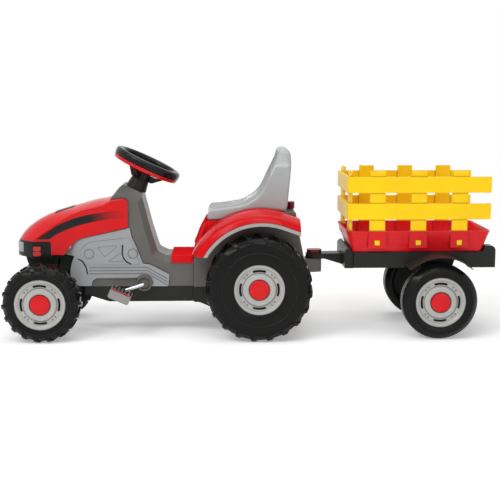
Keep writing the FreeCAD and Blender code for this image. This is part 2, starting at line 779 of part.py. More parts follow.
def fender():
    """Right rear mudguard: crowned over the tyre and turned down at the outer lip."""
    inner, outer = fender_inner_y, fender_outer_y
    crown, lip = fender_crown_radius, fender_lip_radius
    shoulder = outer - 10
    section = [(inner, crown, 0), (outer - 50, crown + 2, 60), (shoulder, crown - 10, 22), (outer, lip, 0),
               (outer - wall, lip, 0), (shoulder - wall, crown - 10 - wall, 19),
               (outer - 50, crown + 2 - wall, 57), (inner, crown - wall, 0)]
    return fender_path(section)


def fender_trim():
    """Grey edging strip under the mudguard's outer lip."""
    outer, lip = fender_outer_y, fender_lip_radius
    top = lip - seam_gap
    low = lip - fender_trim_height
    section = [(outer - 7, top, 0), (outer + 2, top, 0), (outer + 2, low, 3), (outer - 7, low, 0)]
    return fender_path(section)


def seat_side():
    """Side outline of the seat from its front lip over the sitting line to the top of the backrest."""
    front, pan, top = seat_front_x, seat_pan_z, seat_top_z
    rest = deck_z + 2 * seam_gap
    return [(front, seat_foot_z, 8), (front, pan + 6, 22), (front + 34, pan + 3, 20),
            (front + 112, pan + 14, 90), (front + 162, pan + 46, 90), (front + 215, top - 24, 44),
            (front + 214, top, 12), (front + 256, top, 24), (front + 257, top - 52, 60),
            (front + 245, deck_z + 18, 8), (front + 242, rest, 3), (front + 202, rest, 3),
            (front + 188, seat_foot_z, 4)]


def seat_front_view(half, top_half, top, low, shoulder, corner):
    """Upright rounded outline of the backrest seen from the front."""
    waist = seat_top_z - 72
    return [(-half, low, 0), (-half, waist, shoulder), (-top_half, top, corner), (top_half, top, corner),
            (half, waist, shoulder), (half, low, 0)]


def seat():
    """Bucket seat: a raised rim round a dished pan and backrest, with a hollow underside."""
    front, pan, top = seat_front_x, seat_pan_z, seat_top_z
    low = seat_foot_z - 1
    half = seat_half_width
    pan_half = half - seat_rim_width
    before, behind = front - 30, front + 272
    outer_view = seat_front_view(half, 58, top, seat_foot_z, 120, 40)
    shape = prism_xz(seat_side(), -half, half).common(prism_yz(outer_view, before, behind))
    dish = [(before, top + 28, 0), (before, pan - 1, 0), (front + 14, pan - 12, 20),
            (front + 112, pan - 2, 90), (front + 168, pan + 30, 90), (front + 226, top - 24, 50),
            (front + 224, top + 28, 0)]
    dish_view = prism_yz(seat_front_view(pan_half, 46, top - 12, low - 50, 110, 32), before, behind)
    shape = shape.cut(prism_xz(dish, -pan_half, pan_half).common(dish_view))
    hollow = [(front + 6, low, 0), (front + 6, pan - 18, 8), (front + 112, pan - 9, 90),
              (front + 177, pan + 24, 90), (front + 232, top - 52, 8), (front + 245, top - 52, 0),
              (front + 238, deck_z + 14, 8), (front + 228, low, 0)]
    return shape.cut(prism_xz(hollow, 4 - pan_half, pan_half - 4))


def seat_knob():
    """Clamp knob of the seat on the rear deck, with its stud."""
    corners = []
    for i in range(8):
        turn = math.pi * i / 4
        corners.append((knob_x + knob_radius * math.cos(turn), knob_radius * math.sin(turn), 2))
    knob = prism_xy(corners, deck_z + 0.3, deck_z + 22)
    return knob.fuse(rod(knob_stud_radius, Vec(knob_x, 0, deck_z - 8), Vec(knob_x, 0, deck_z + 1)))


# Steering

def steering_column():
    """Tapered sleeve round the steering shaft, standing on the dashboard."""
    bush = axle_radius + bush_wall
    height = dash_drop - dish_depth - 1
    sleeve = Part.makeCone(33, 27, height, Vec(0, 0, -dash_drop + seam_gap))
    bore = Part.makeCylinder(bush, dash_drop, Vec(0, 0, -dash_drop - 10))
    room = Part.makeCone(29, 24, height - 10, Vec(0, 0, -dash_drop))
    return steer_placed(sleeve.cut(bore).cut(room))


def steering_bushes():
    """Plain bearings of the steering shaft, in the sleeve's top and in the engine bay's roof."""
    middle = lower_bush_height()
    rings = []
    top = seam_gap - dish_depth - 1
    for low, high in ((top - 10, top), (middle - 22, middle + 18)):
        bore = rod(axle_radius + run_gap, Vec(0, 0, low - 1), Vec(0, 0, high + 1))
        ring = rod(axle_radius + bush_wall - press_gap, Vec(0, 0, low), Vec(0, 0, high))
        rings.append(steer_placed(ring.cut(bore)))
    return Part.makeCompound(rings)


def steering_wheel():
    """Deeply dished three-spoke steering wheel with a tall rim."""
    low, high = wheel_rim_low, wheel_rim_high
    inner = wheel_ring_radius - wheel_rim_width / 2
    outer = wheel_ring_radius + wheel_rim_width / 2
    section = [(inner, low, 6), (outer, low, 5), (outer, high, 10), (inner, high, 10)]
    face = Part.Face(outline(section, lambda a, b: Vec(a, 0, b)))
    rim = face.revolve(Vec(0, 0, 0), Vec(0, 0, 1), 360)
    foot = -dish_depth
    pieces = [rod(wheel_hub_radius, Vec(0, 0, foot), Vec(0, 0, hub_top_z))]
    reach = inner + 5
    side = [(16, foot, 0), (36, foot, 14), (reach, low + 2, 0), (reach, low + 13, 0), (44, hub_top_z, 16),
            (16, hub_top_z, 0)]
    for turn in (0, 120, 240):
        spoke = prism_xz(side, -13, 13)
        spoke.rotate(Vec(0, 0, 0), Vec(0, 0, 1), turn)
        pieces.append(spoke)
    shaft_end = rod(axle_radius + press_gap, Vec(0, 0, foot - 1), Vec(0, 0, hub_top_z - 4))
    return steer_placed(rim.multiFuse(pieces).cut(shaft_end))


def steering_ring():
    """Red under-ring clipped below the steering wheel's rim."""
    top = wheel_rim_low - seam_gap
    low = top - wheel_ring_height
    inner = wheel_ring_radius - wheel_rim_width / 2 + 6
    outer = wheel_ring_radius + wheel_rim_width / 2 - 1
    section = [(inner, low, 2), (outer - 2, low, 3), (outer, top, 0), (inner, top, 0)]
    face = Part.Face(outline(section, lambda a, b: Vec(a, 0, b)))
    return steer_placed(face.revolve(Vec(0, 0, 0), Vec(0, 0, 1), 360))


def steering_cap():
    """Round cover on the steering wheel's hub."""
    top = hub_top_z + 8
    cap = rod(wheel_hub_radius - 6, Vec(0, 0, hub_top_z + seam_gap), Vec(0, 0, top))
    return steer_placed(cap.makeFillet(3, [e for e in cap.Edges if e.BoundBox.ZMin > top - 1]))


def steering_shaft():
    """Steering shaft with the drop arm and pin that swing the tie rod."""
    foot = -shaft_length
    tip = pitman_radius + 8
    shaft = rod(axle_radius, Vec(0, 0, foot), Vec(0, 0, hub_top_z - 4.5))
    arm = prism_xy([(-9, -9, 8), (tip, -8, 7), (tip, 8, 7), (-9, 9, 8)], foot - 8, foot + 4)
    pin = rod(pitman_pin_radius, Vec(pitman_radius, 0, foot - 32), Vec(pitman_radius, 0, foot))
    return steer_placed(shaft.fuse(arm).fuse(pin))


def pitman_pin_x():
    """Where the drop arm's slanted pin crosses the tie rod's middle plane."""
    lean = math.radians(steer_tilt)
    base = steer_point(-shaft_length) + Vec(math.cos(lean), 0, -math.sin(lean)) * pitman_radius
    return base.x - (base.z - tie_bottom_z - tie_thickness / 2) * math.tan(lean)


def tie_rod():
    """Flat steering bar: both knuckle arms at its ends, the drop arm's pin in its rear slot."""
    eye = tie_eye_radius
    low = tie_bottom_z
    top = low + tie_thickness
    yoke = pitman_pin_x()
    tongue = [(tie_x, -eye, 0), (yoke - 20, -eye, 0), (yoke - 14, -14, 4), (yoke + 14, -14, 8),
              (yoke + 14, 14, 8), (yoke - 14, 14, 4), (yoke - 20, eye, 0), (tie_x, eye, 0)]
    pieces = [prism_xy(tongue, low, top)]
    for y in (-kingpin_y, kingpin_y):
        pieces.append(rod(eye, Vec(tie_x, y, low), Vec(tie_x, y, top)))
    plate = box(tie_x - eye, tie_x + eye, -kingpin_y, kingpin_y, low, top).multiFuse(pieces)
    for y, gap in ((-kingpin_y, run_gap), (kingpin_y, seam_gap)):
        plate = plate.cut(rod(tie_pin_radius + gap, Vec(tie_x, y, low - 1), Vec(tie_x, y, top + 1)))
    half = pitman_pin_radius + 1
    slot = [(yoke - 9, -half, half - 0.5), (yoke + 7.5, -half, half - 0.5),
            (yoke + 7.5, half, half - 0.5), (yoke - 9, half, half - 0.5)]
    return plate.cut(prism_xy(slot, low - 1, top + 1)).removeSplitter()


def knuckle():
    """Right steering knuckle: kingpin and stub axle bent from one bar, with its steering arm on top."""
    axle, y = front_axle_x, kingpin_y
    eye_top = beam_top_z + 4
    head = axle_end(axle, front_axle_z, front_wheel_y, front_tyre_width)
    inner = front_wheel_y - front_tyre_width / 2
    bar = bent_rod([Vec(axle, head.BoundBox.YMax, front_axle_z), Vec(axle, y, front_axle_z),
                    Vec(axle, y, tie_bottom_z - 1)], axle_radius, 9.5)
    arm_plan = [(axle - 12, y - 12, 11), (tie_x + 8, y - 8, 7),
                (tie_x + 8, y + 8, 7), (axle - 12, y + 12, 11)]
    arm = prism_xy(arm_plan, eye_top + seam_gap, tie_bottom_z - seam_gap)
    pin = rod(tie_pin_radius, Vec(tie_x, y, eye_top + 1), Vec(tie_x, y, tie_bottom_z + tie_thickness + 4))
    collar = cross_rod(axle_radius + 4, axle, front_axle_z, inner - 3, inner + 1.5)
    return bar.multiFuse([arm, pin, collar, head])


# Pedal drive

def crank_axle():
    """Pedal crank bent from one steel bar, its two arms opposite each other."""
    outer = pedal_inner_y + pedal_width - pedal_end
    across = Vec(0, 1, 0)
    middle = Vec(crank_x, 0, crank_z)
    left = middle + Vec(pedal_dx, 0, pedal_dz)
    right = middle - Vec(pedal_dx, 0, pedal_dz)
    return bent_rod([left - across * outer, left - across * crank_arm_y, middle - across * crank_arm_y,
                     middle + across * crank_arm_y, right + across * crank_arm_y, right + across * outer],
                    crank_rod_radius, 8.0)


def crank_bushes():
    """Flanged bearing bosses of the crank on both sides of the body."""
    inner = body_half_width - wall
    face = body_half_width + seam_gap
    outer = face + crank_boss_length
    flange = cross_rod(crank_boss_radius, crank_x, crank_z, face, outer)
    recess = cross_ring(crank_boss_radius - 5, crank_rod_radius + 6, crank_x, crank_z, outer - 5, outer + 1)
    sleeve = cross_rod(crank_rod_radius + bush_wall - press_gap, crank_x, crank_z, inner, outer)
    bore = cross_rod(crank_rod_radius + run_gap, crank_x, crank_z, inner - 1, outer + 1)
    bush = flange.cut(recess).fuse(sleeve).cut(bore)
    return Part.makeCompound([bush, mirrored(bush)])


def axle_bushes():
    """Flanged bearings of the rear axle in the walls of the gearbox housing."""
    inner = rear_half_width - wall
    outer = rear_half_width + 8
    sleeve = cross_rod(axle_radius + bush_wall - press_gap, rear_axle_x, rear_axle_z, inner, outer)
    flange = cross_rod(axle_radius + bush_wall + 6, rear_axle_x, rear_axle_z, rear_half_width + 0.1, outer)
    bore = cross_rod(axle_radius + run_gap, rear_axle_x, rear_axle_z, inner - 1, outer + 1)
    bush = sleeve.fuse(flange).cut(bore)
    return Part.makeCompound([bush, mirrored(bush)])


def toothed_disc(teeth, x, z, phase, bore, lightened):
    """Sprocket for the roller chain; phase is the angle of one tooth gap."""
    radius = pitch / (2 * math.sin(math.pi / teeth))
    seat = roller_radius + 0.3
    tip = radius + 3.0
    step = 2 * math.pi / teeth
    half_tip = 1.5 / tip
    flank = math.radians(62)
    low = chain_y - sprocket_thickness / 2

    def at(r, angle):
        return Vec(x + r * math.cos(angle), low, z + r * math.sin(angle))

    def seat_point(angle, side):
        along = Vec(-math.sin(angle), 0, math.cos(angle)) * (side * seat * math.sin(flank))
        return at(radius - seat * math.cos(flank), angle) + along

    edges = []
    for i in range(teeth):
        angle = phase + i * step
        end = seat_point(angle, 1)
        rise = at(tip, angle + step / 2 - half_tip)
        fall = at(tip, angle + step / 2 + half_tip)
        edges.append(Part.Arc(seat_point(angle, -1), at(radius - seat, angle), end).toShape())
        edges.append(Part.makeLine(end, rise))
        edges.append(Part.makeLine(rise, fall))
        edges.append(Part.makeLine(fall, seat_point(angle + step, -1)))
    disc = Part.Face(Part.Wire(edges)).extrude(Vec(0, sprocket_thickness, 0))
    disc = disc.fuse(cross_rod(bore + 8, x, z, chain_y - 7, chain_y + 7))
    if lightened:
        for i in range(5):
            hole = at(radius * 0.58, phase + i * 2 * math.pi / 5)
            disc = disc.cut(cross_rod(radius * 0.17, hole.x, hole.z, chain_y - 8, chain_y + 8))
    return disc.cut(cross_rod(bore + press_gap, x, z, chain_y - 8, chain_y + 8))


def chain_point(position):
    """Pin of the chain, counted in pitches from the top of the rear sprocket's wrap onwards."""
    straight, front, rear, slant = chain_pitches(centre_distance)
    rear_centre = Vec(rear_axle_x, 0, rear_axle_z)
    front_centre = Vec(crank_x, 0, crank_z)
    position = position % chain_links

    def on(centre, radius, angle):
        return centre + Vec(radius * math.cos(angle), 0, radius * math.sin(angle))

    if position < rear:
        angle = math.pi / 2 - slant - 2 * math.pi * position / sprocket_teeth
        return on(rear_centre, sprocket_radius, angle)
    position -= rear
    if position < straight:
        start = on(rear_centre, sprocket_radius, slant - math.pi / 2)
        return start - Vec(math.cos(slant), 0, math.sin(slant)) * (position * pitch)
    position -= straight
    if position < front:
        angle = slant - math.pi / 2 - 2 * math.pi * position / chainring_teeth
        return on(front_centre, chainring_radius, angle)
    position -= front
    start = on(front_centre, chainring_radius, math.pi / 2 - slant)
    return start + Vec(math.cos(slant), 0, -math.sin(slant)) * (position * pitch)


def sprocket_phase(x, z, facing):
    """Angle from a sprocket's centre to the chain pin deepest in its wrap, which faces along X."""
    pins = [chain_point(i) for i in range(chain_links)]
    wrapped = [pin for pin in pins if (pin.x - x) * facing > 0]
    nearest = min(wrapped, key=lambda pin: abs(pin.z - z))
    return math.atan2(nearest.z - z, nearest.x - x)


def chain_plate(y0, y1):
    """Link plate with bevelled ends, between the origin and one pitch along X."""
    long, high, bevel = 4.6, 4.2, 2.4
    left, right = -long, pitch + long
    corners = [(left, bevel - high), (left + bevel, -high), (right - bevel, -high), (right, bevel - high),
               (right, high - bevel), (right - bevel, high), (left + bevel, high), (left, high - bevel)]
    return prism_xz([(x, z, 0) for x, z in corners], y0, y1)


def drive_chain():
    """Roller chain: inner links with rollers and outer links in turn, on the sprockets' pitch line."""
    ends = (0, pitch)
    inner = fuse_all([chain_plate(-3.4, -2.2), chain_plate(2.2, 3.4)]
                     + [cross_rod(roller_radius, x, 0, -2.2, 2.2) for x in ends])
    for x in ends:
        inner = inner.cut(cross_rod(chain_pin_radius + press_gap, x, 0, -5, 5))
    outer = fuse_all([chain_plate(-4.8, -3.6), chain_plate(3.6, 4.8)]
                     + [cross_rod(chain_pin_radius, x, 0, -4.8, 4.8) for x in ends])
    links = []
    for i in range(chain_links):
        start = chain_point(i)
        run = chain_point(i + 1) - start
        link = (inner if i % 2 == 0 else outer).copy()
        link.rotate(Vec(0, 0, 0), Vec(0, 1, 0), -math.degrees(math.atan2(run.z, run.x)))
        link.translate(start + Vec(0, chain_y, 0))
        links.append(link)
    return Part.makeCompound(links)


def pedal(x, z):
    """Left pedal block with grip grooves on its tread, on the crank's spindle."""
    inner = -pedal_inner_y
    outer = inner - pedal_width
    half = pedal_length / 2
    high = pedal_height / 2
    block = prism_xz([(-half, -high, 7), (half, -high, 7), (half, high, 4), (-half, high, 4)], outer, inner)
    for i in (-2, -1, 0, 1, 2):
        middle = i * pedal_length / 6
        block = block.cut(box(middle - 2, middle + 2, outer + 8, inner - 8, high - 2.5, high + 1))
    block = block.cut(cross_rod(crank_rod_radius + run_gap, 0, 0, outer + pedal_end - seam_gap, inner + 1))
    block.rotate(Vec(0, 0, 0), Vec(0, 1, 0), pedal_lean)
    block.translate(Vec(x, 0, z))
    return block


# Hitch and trailer

def hitch_bracket():
    """Tow bracket on the tractor's tail with the bore for the hitch pin."""
    half = tongue_half_width + 1
    low = hitch_top_z - 42
    nose = hitch_x + 22
    plan = [(body_rear_x, -half, 0), (hitch_x, -half, 0), (nose, 8 - half, 12), (nose, half - 8, 12),
            (hitch_x, half, 0), (body_rear_x, half, 0)]
    block = prism_xy(plan, low, hitch_top_z)
    block = block.cut(box(body_rear_x + 8, hitch_x - 16, 6 - half, half - 6, low - 1, hitch_top_z - 6))
    return block.cut(rod(pin_radius + run_gap, Vec(hitch_x, 0, low - 1), Vec(hitch_x, 0, hitch_top_z + 1)))


def drawbar():
    """Trailer tongue: an eye on the tow bracket that deepens towards the trailer's front riser."""
    half = tongue_half_width
    low = hitch_top_z + seam_gap
    high = low + tongue_height
    foot = frame_bottom_z - 3
    rear = riser_front_x
    side = [(hitch_x - 30, low, 0), (hitch_x - 30, high, 0), (rear, high + 2, 0), (rear, foot, 0),
            (hitch_x + 30, low, 30)]
    plan = [(hitch_x - 27, -half, 24), (rear, -half, 0), (rear, half, 0), (hitch_x - 27, half, 24)]
    bar = prism_xz(side, -half, half).common(prism_xy(plan, foot - 10, high + 20))
    hollow = box(hitch_x + 46, rear - 6, 5 - half, half - 5, foot - 4, high - 5)
    eye = rod(pin_radius + seam_gap, Vec(hitch_x, 0, foot), Vec(hitch_x, 0, high + 10))
    return bar.cut(hollow).cut(eye)


def hitch_pin():
    """Push-in coupling pin with a flat finger knob."""
    low = hitch_top_z + seam_gap + tongue_height + 1
    front, rear = hitch_x - 23, hitch_x + 23
    knob = prism_xy([(front, -16, 14), (rear, -16, 14), (rear, 16, 14), (front, 16, 14)], low, low + 11)
    return knob.fuse(rod(pin_radius, Vec(hitch_x, 0, hitch_top_z - 40), Vec(hitch_x, 0, low + 1)))


def trailer_frame():
    """Trailer underframe: a flanged tray with a front riser, tail stops, axle legs and wheel guards."""
    half = frame_half_width
    front, tail = frame_front_x, trailer_tail_x
    low, top = frame_bottom_z, frame_top_z
    tray = box(front - 1, tail, -half, half, low, top)
    tray = tray.cut(box(front + wall, tail - wall, wall - half, half - wall, low - 1, top - wall))
    arch = cross_rod(guard_radius, trailer_axle_x, trailer_axle_z, -half - 1, half + 1)
    tray = tray.cut(arch.common(box(front, tail, -half - 1, half + 1, 0, top - wall)))
    pieces = [front_riser()]
    wall_x = tub_rear_x - tub_draft_x + 3
    lean = tub_draft_x * stop_height / (tub_rim_z - top)
    stop = [(wall_x, top - 1, 0), (wall_x + lean, top + stop_height, 3), (tail, top + stop_height, 15),
            (tail, top - 1, 0)]
    for side in (-1, 1):
        pieces.append(prism_xz(stop, *sorted((side * (half - 34), side * half))))
        pieces.append(axle_leg(side))
        pieces.append(wheel_guard(side))
    frame = tray.multiFuse(pieces)
    bore = cross_rod(axle_radius + press_gap, trailer_axle_x, trailer_axle_z, -half - 1, half + 1)
    return frame.cut(bore).removeSplitter()


def front_riser():
    """Hollow block at the trailer's front end that the drawbar joins."""
    front, rear = riser_front_x, frame_front_x
    half = riser_half_width
    low = frame_bottom_z - 3
    wall_x = tub_front_x + tub_draft_x
    side = [(front, low, 0), (front, riser_top_z - 8, 3), (front + 8, riser_top_z, 3),
            (wall_x - 8, riser_top_z, 0), (wall_x - 2, frame_top_z, 0), (rear, frame_top_z, 0),
            (rear, low, 0)]
    hollow = box(front + wall, rear - 1, wall - half, half - wall, low - 1, frame_top_z - wall)
    return prism_xz(side, -half, half).cut(hollow)


def axle_leg(side):
    """Tapered leg from the tray's side wall down to the axle."""
    low, high = sorted((side * (frame_half_width - 10), side * frame_half_width))
    axle, foot = trailer_axle_x, trailer_axle_z
    eye = axle_radius + 10
    top = frame_top_z - 1
    taper = [(axle - 64, top, 0), (axle - eye, foot, 0), (axle + eye, foot, 0), (axle + 64, top, 0)]
    return prism_xz(taper, low, high).fuse(cross_rod(eye, axle, foot, low, high))


def wheel_guard(side):
    """Curved guard over the trailer wheel, standing out from the tray's side wall."""
    outer = trailer_wheel_y + trailer_tyre_width / 2
    low, high = sorted((side * (frame_half_width - 1), side * outer))
    guard = cross_ring(guard_radius + wall, guard_radius, trailer_axle_x, trailer_axle_z, low, high)
    return guard.common(box(trailer_axle_x - 200, trailer_axle_x + 200, low, high, frame_bottom_z + 8, 400))


def rounded_plan(x0, x1, half, radius, z):
    return outline([(x0, -half, radius), (x1, -half, radius), (x1, half, radius), (x0, half, radius)],
                   lambda a, b: Vec(a, b, z))


def post_xs():
    """Middles of the three fence posts along each side."""
    first = fence_rear_x - 70 - post_width / 2 - 2 * post_pitch
    return [first + i * post_pitch for i in range(3)]


def post_socket(x, side, clearance):
    """Upright post space in the tub's side wall, enlarged by a clearance."""
    y = side * fence_y
    half = post_thickness / 2 + clearance
    reach = post_width / 2 + clearance
    return box(x - reach, x + reach, y - half, y + half, post_foot_z - clearance, tub_rim_z + 1)


def trailer_tub():
    """Load tub with drafted walls and an upright socket for each fence post."""
    base = frame_top_z + seam_gap
    depth = tub_rim_z - base
    front, rear = tub_front_x + tub_draft_x, tub_rear_x - tub_draft_x
    half = tub_half_width - tub_draft_y
    outer = Part.makeLoft([rounded_plan(front, rear, half, 14, base),
                           rounded_plan(tub_front_x, tub_rear_x, tub_half_width, 22, tub_rim_z)], True, True)
    spread_x = tub_draft_x * (depth - wall + 1) / depth
    spread_y = tub_draft_y * (depth - wall + 1) / depth
    front, rear, half = front + wall, rear - wall, half - wall
    floor_plan = rounded_plan(front, rear, half, 11, base + wall)
    rim_plan = rounded_plan(front - spread_x, rear + spread_x, half + spread_y, 19, tub_rim_z + 1)
    inner = Part.makeLoft([floor_plan, rim_plan], True, True)
    below_rim = box(tub_front_x, tub_rear_x, -2 * half, 2 * half, 0, tub_rim_z)
    blocks = [socket.common(below_rim) for socket in all_sockets(wall + seam_gap)]
    tub = outer.multiFuse(blocks)
    tub = tub.cut(inner.cut(blocks[0].multiFuse(blocks[1:])))
    windows = [tab_window(x, side, 1.0) for side in (-1, 1) for x in post_xs()]
    for opening in all_sockets(seam_gap) + windows:
        tub = tub.cut(opening)
    return tub.removeSplitter()


def all_sockets(clearance):
    """Spaces of the six side posts and the two front posts."""
    sides = [post_socket(x, side, clearance) for side in (-1, 1) for x in post_xs()]
    return sides + [front_socket(y, clearance) for y in (-front_post_y, front_post_y)]


def tab_window(x, side, clearance):
    """Opening in a socket's outer wall for the post's snap tab."""
    face = fence_y + post_thickness / 2
    low, high = sorted((side * (face - 1), side * (face + 8)))
    reach = 8 + clearance
    return box(x - reach, x + reach, low, high, post_foot_z + 5 - clearance, post_foot_z + 20 + clearance)


def front_socket(y, clearance):
    """Upright space of a front post inside the tub's front wall, enlarged by a clearance."""
    reach = post_width / 2 + clearance
    front, rear = post_front_x - clearance, post_front_x + post_thickness + clearance
    return box(front, rear, y - reach, y + reach, front_foot_z - clearance, tub_rim_z + 1)


def side_rail(side, z):
    """Rail along a side, outside the posts and rounded at the fence's front corner."""
    inner = side * (fence_y + rail_lap - rail_thickness / 2)
    outer = side * (fence_y + rail_lap + rail_thickness / 2)
    plan = [(fence_front_x, inner, 0), (fence_rear_x, inner, 0), (fence_rear_x, outer, 2),
            (fence_front_x, outer, rail_thickness - 2)]
    return prism_xy(plan, z, z + rail_height)


def fence_side(side):
    """Side fence: two rails on three posts whose feet stand in the tub's sockets."""
    y = side * fence_y
    post_half = post_thickness / 2
    low, high = sorted((0, side * (fence_y + post_half + 3)))
    pieces = [side_rail(side, lower_rail_z)]
    for x in post_xs():
        left, right = x - post_width / 2, x + post_width / 2
        pieces.append(box(left, right, y - post_half, y + post_half, post_foot_z, post_top_z))
        pieces.append(tab_window(x, side, 0).common(box(left, right, low, high, 0, post_top_z)))
    return side_rail(side, upper_rail_z).multiFuse(pieces).removeSplitter()


def fence_front():
    """Front fence between the side rails, on two posts in the tub's front sockets."""
    front, rear = post_front_x, post_front_x + post_thickness
    half = fence_y + rail_lap - rail_thickness / 2 - seam_gap
    back = fence_front_x + rail_thickness
    pieces = [box(fence_front_x, back, -half, half, lower_rail_z, lower_rail_z + rail_height)]
    for y in (-front_post_y, front_post_y):
        pieces.append(box(front, rear, y - post_width / 2, y + post_width / 2, front_foot_z, post_top_z))
    upper = box(fence_front_x, back, -half, half, upper_rail_z, upper_rail_z + rail_height)
    return upper.multiFuse(pieces).removeSplitter()


# Write every piece
save("chassis_frame", chassis_frame())
save("main_body", main_body())
save("rear_body", rear_body())
save("hood", hood())
save("nose_band", nose_band())
left_panel = engine_panel()
save("engine_panel_left", left_panel)
save("engine_panel_right", mirrored(left_panel))
save("front_carrier", front_carrier())
save("front_axle_beam", front_axle_beam())
save("seat_base", seat_base())
right_fender = fender()
save("fender_right", right_fender)
save("fender_left", mirrored(right_fender))
right_trim = fender_trim()
save("fender_trims", Part.makeCompound([right_trim, mirrored(right_trim)]))
save("seat", seat())
save("seat_knob", seat_knob())
save("hitch_bracket", hitch_bracket())

save("steering_column", steering_column())
save("steering_bushes", steering_bushes())
save("steering_wheel", steering_wheel())
save("steering_ring", steering_ring())
save("steering_cap", steering_cap())
save("steering_shaft", steering_shaft())
save("tie_rod", tie_rod())
right_knuckle = knuckle()
save("knuckle_right", right_knuckle)
save("knuckle_left", mirrored(right_knuckle))

save("crank_axle", crank_axle())
save("crank_bushes", crank_bushes())
save("axle_bushes", axle_bushes())
front_phase = sprocket_phase(crank_x, crank_z, -1)
rear_phase = sprocket_phase(rear_axle_x, rear_axle_z, 1)
save("chainring", toothed_disc(chainring_teeth, crank_x, crank_z, front_phase, crank_rod_radius, True))
save("rear_sprocket", toothed_disc(sprocket_teeth, rear_axle_x, rear_axle_z, rear_phase, axle_radius, False))
save("drive_chain", drive_chain())
save("pedal_left", pedal(crank_x + pedal_dx, crank_z + pedal_dz))
save("pedal_right", mirrored(pedal(crank_x - pedal_dx, crank_z - pedal_dz)))
save("rear_axle", through_axle(rear_axle_x, rear_axle_z, rear_wheel_y, rear_tyre_width))

save("drawbar", drawbar())
save("hitch_pin", hitch_pin())
save("trailer_frame", trailer_frame())
save("trailer_tub", trailer_tub())
save("fence_left", fence_side(-1))
save("fence_right", fence_side(1))
save("fence_front", fence_front())
save("trailer_axle", through_axle(trailer_axle_x, trailer_axle_z, trailer_wheel_y, trailer_tyre_width))

front_tyre = lugged_tyre(front_tyre_radius, front_tyre_width, front_lugs)
rear_tyre = lugged_tyre(rear_tyre_radius, rear_tyre_width, rear_lugs)
trailer_tyre = ribbed_tyre(trailer_tyre_radius, trailer_tyre_width)
place_wheels("front", front_tyre, front_tyre_width, front_axle_x, front_wheel_y, front_axle_z)
place_wheels("rear", rear_tyre, rear_tyre_width, rear_axle_x, rear_wheel_y, rear_axle_z)
place_wheels("trailer", trailer_tyre, trailer_tyre_width, trailer_axle_x, trailer_wheel_y, trailer_axle_z)
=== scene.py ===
# %% [markdown]
# # A child's pedal tractor with its trailer
# The solids come from a CAD model in metres. This lesson keeps them where they are and gives them their
# looks: the camera, the studio, the plastics and metals, and the small mouldings that a drawing of the
# structure leaves out.

# %% Load the frame
import json
import math

import bmesh
import bpy
import numpy as np
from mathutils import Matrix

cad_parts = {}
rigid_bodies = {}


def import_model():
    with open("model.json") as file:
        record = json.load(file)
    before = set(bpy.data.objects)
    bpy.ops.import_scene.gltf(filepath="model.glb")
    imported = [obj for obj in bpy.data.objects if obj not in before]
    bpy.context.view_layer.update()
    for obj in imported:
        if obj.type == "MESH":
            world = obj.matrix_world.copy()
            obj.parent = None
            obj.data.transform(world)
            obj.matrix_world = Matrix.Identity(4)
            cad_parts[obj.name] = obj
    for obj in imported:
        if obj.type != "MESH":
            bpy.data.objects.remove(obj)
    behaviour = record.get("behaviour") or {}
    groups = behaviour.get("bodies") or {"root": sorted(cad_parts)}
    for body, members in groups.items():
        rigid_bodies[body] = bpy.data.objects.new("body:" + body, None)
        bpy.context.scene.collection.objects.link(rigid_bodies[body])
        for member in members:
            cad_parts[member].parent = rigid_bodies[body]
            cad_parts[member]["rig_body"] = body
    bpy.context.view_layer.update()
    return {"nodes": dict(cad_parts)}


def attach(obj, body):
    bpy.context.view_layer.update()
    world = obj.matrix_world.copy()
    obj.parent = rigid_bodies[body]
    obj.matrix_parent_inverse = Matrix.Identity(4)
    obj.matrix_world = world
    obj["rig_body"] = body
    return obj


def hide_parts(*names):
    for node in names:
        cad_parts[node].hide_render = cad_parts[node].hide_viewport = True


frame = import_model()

nodes = frame["nodes"]
body_of = {name: piece["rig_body"] for name, piece in nodes.items()}
MM = 0.001

# %% [markdown]
# The photograph was taken from the tractor's left side, three metres away and a little above the seat. Its
# framing puts the toy a little below the lens axis. A small vertical shift does the same without tilting the
# camera further, so that upright posts stay nearly upright.

# %% Camera
camera_data = bpy.data.cameras.new("camera")
camera_data.lens = 67.9
camera_data.sensor_width = 36.0
camera_data.shift_y = -0.0427
camera = bpy.data.objects.new("camera", camera_data)
camera.location = (-0.0916, -2.9372, 0.7412)
camera.rotation_euler = (math.radians(81.731), 0.0, math.radians(-1.729))
bpy.context.scene.collection.objects.link(camera)
bpy.context.scene.camera = camera
bpy.context.scene.view_settings.view_transform = "Standard"
print("camera", tuple(camera.location))


# %% [markdown]
# Blender's materials, and the light of its world, are small networks of nodes. Three helpers keep the later
# cells short: one adds a node and sets its inputs, one links sockets in pairs, and one maps a value from one
# range to another.

# %% Nodes
def add_node(tree, kind, **values):
    """Adds a shader node of a kind such as TexNoise and sets the named inputs; a _ stands for a space."""
    made = tree.nodes.new("ShaderNode" + kind)
    for name, value in values.items():
        made.inputs[name.replace("_", " ")].default_value = value
    return made


def wire(tree, *pairs):
    """Links each pair of an output socket and an input socket."""
    for output, entry in pairs:
        tree.links.new(output, entry)


def spread(tree, value, low, high, start=0.0, end=1.0, curve="LINEAR"):
    """Socket that runs from low to high while the value runs from start to end."""
    span = add_node(tree, "MapRange", From_Min=start, From_Max=end, To_Min=low, To_Max=high)
    span.interpolation_type = curve
    wire(tree, (value, span.inputs["Value"]))
    return span.outputs["Result"]


print("node helpers")

# %% [markdown]
# A studio for a glossy toy is mostly white walls. The world gives an even soft light that fills the shadows.
# Camera rays, mirror rays and rays through clear plastic see it as plain white instead, so that the
# background is white without any more light on the toy.

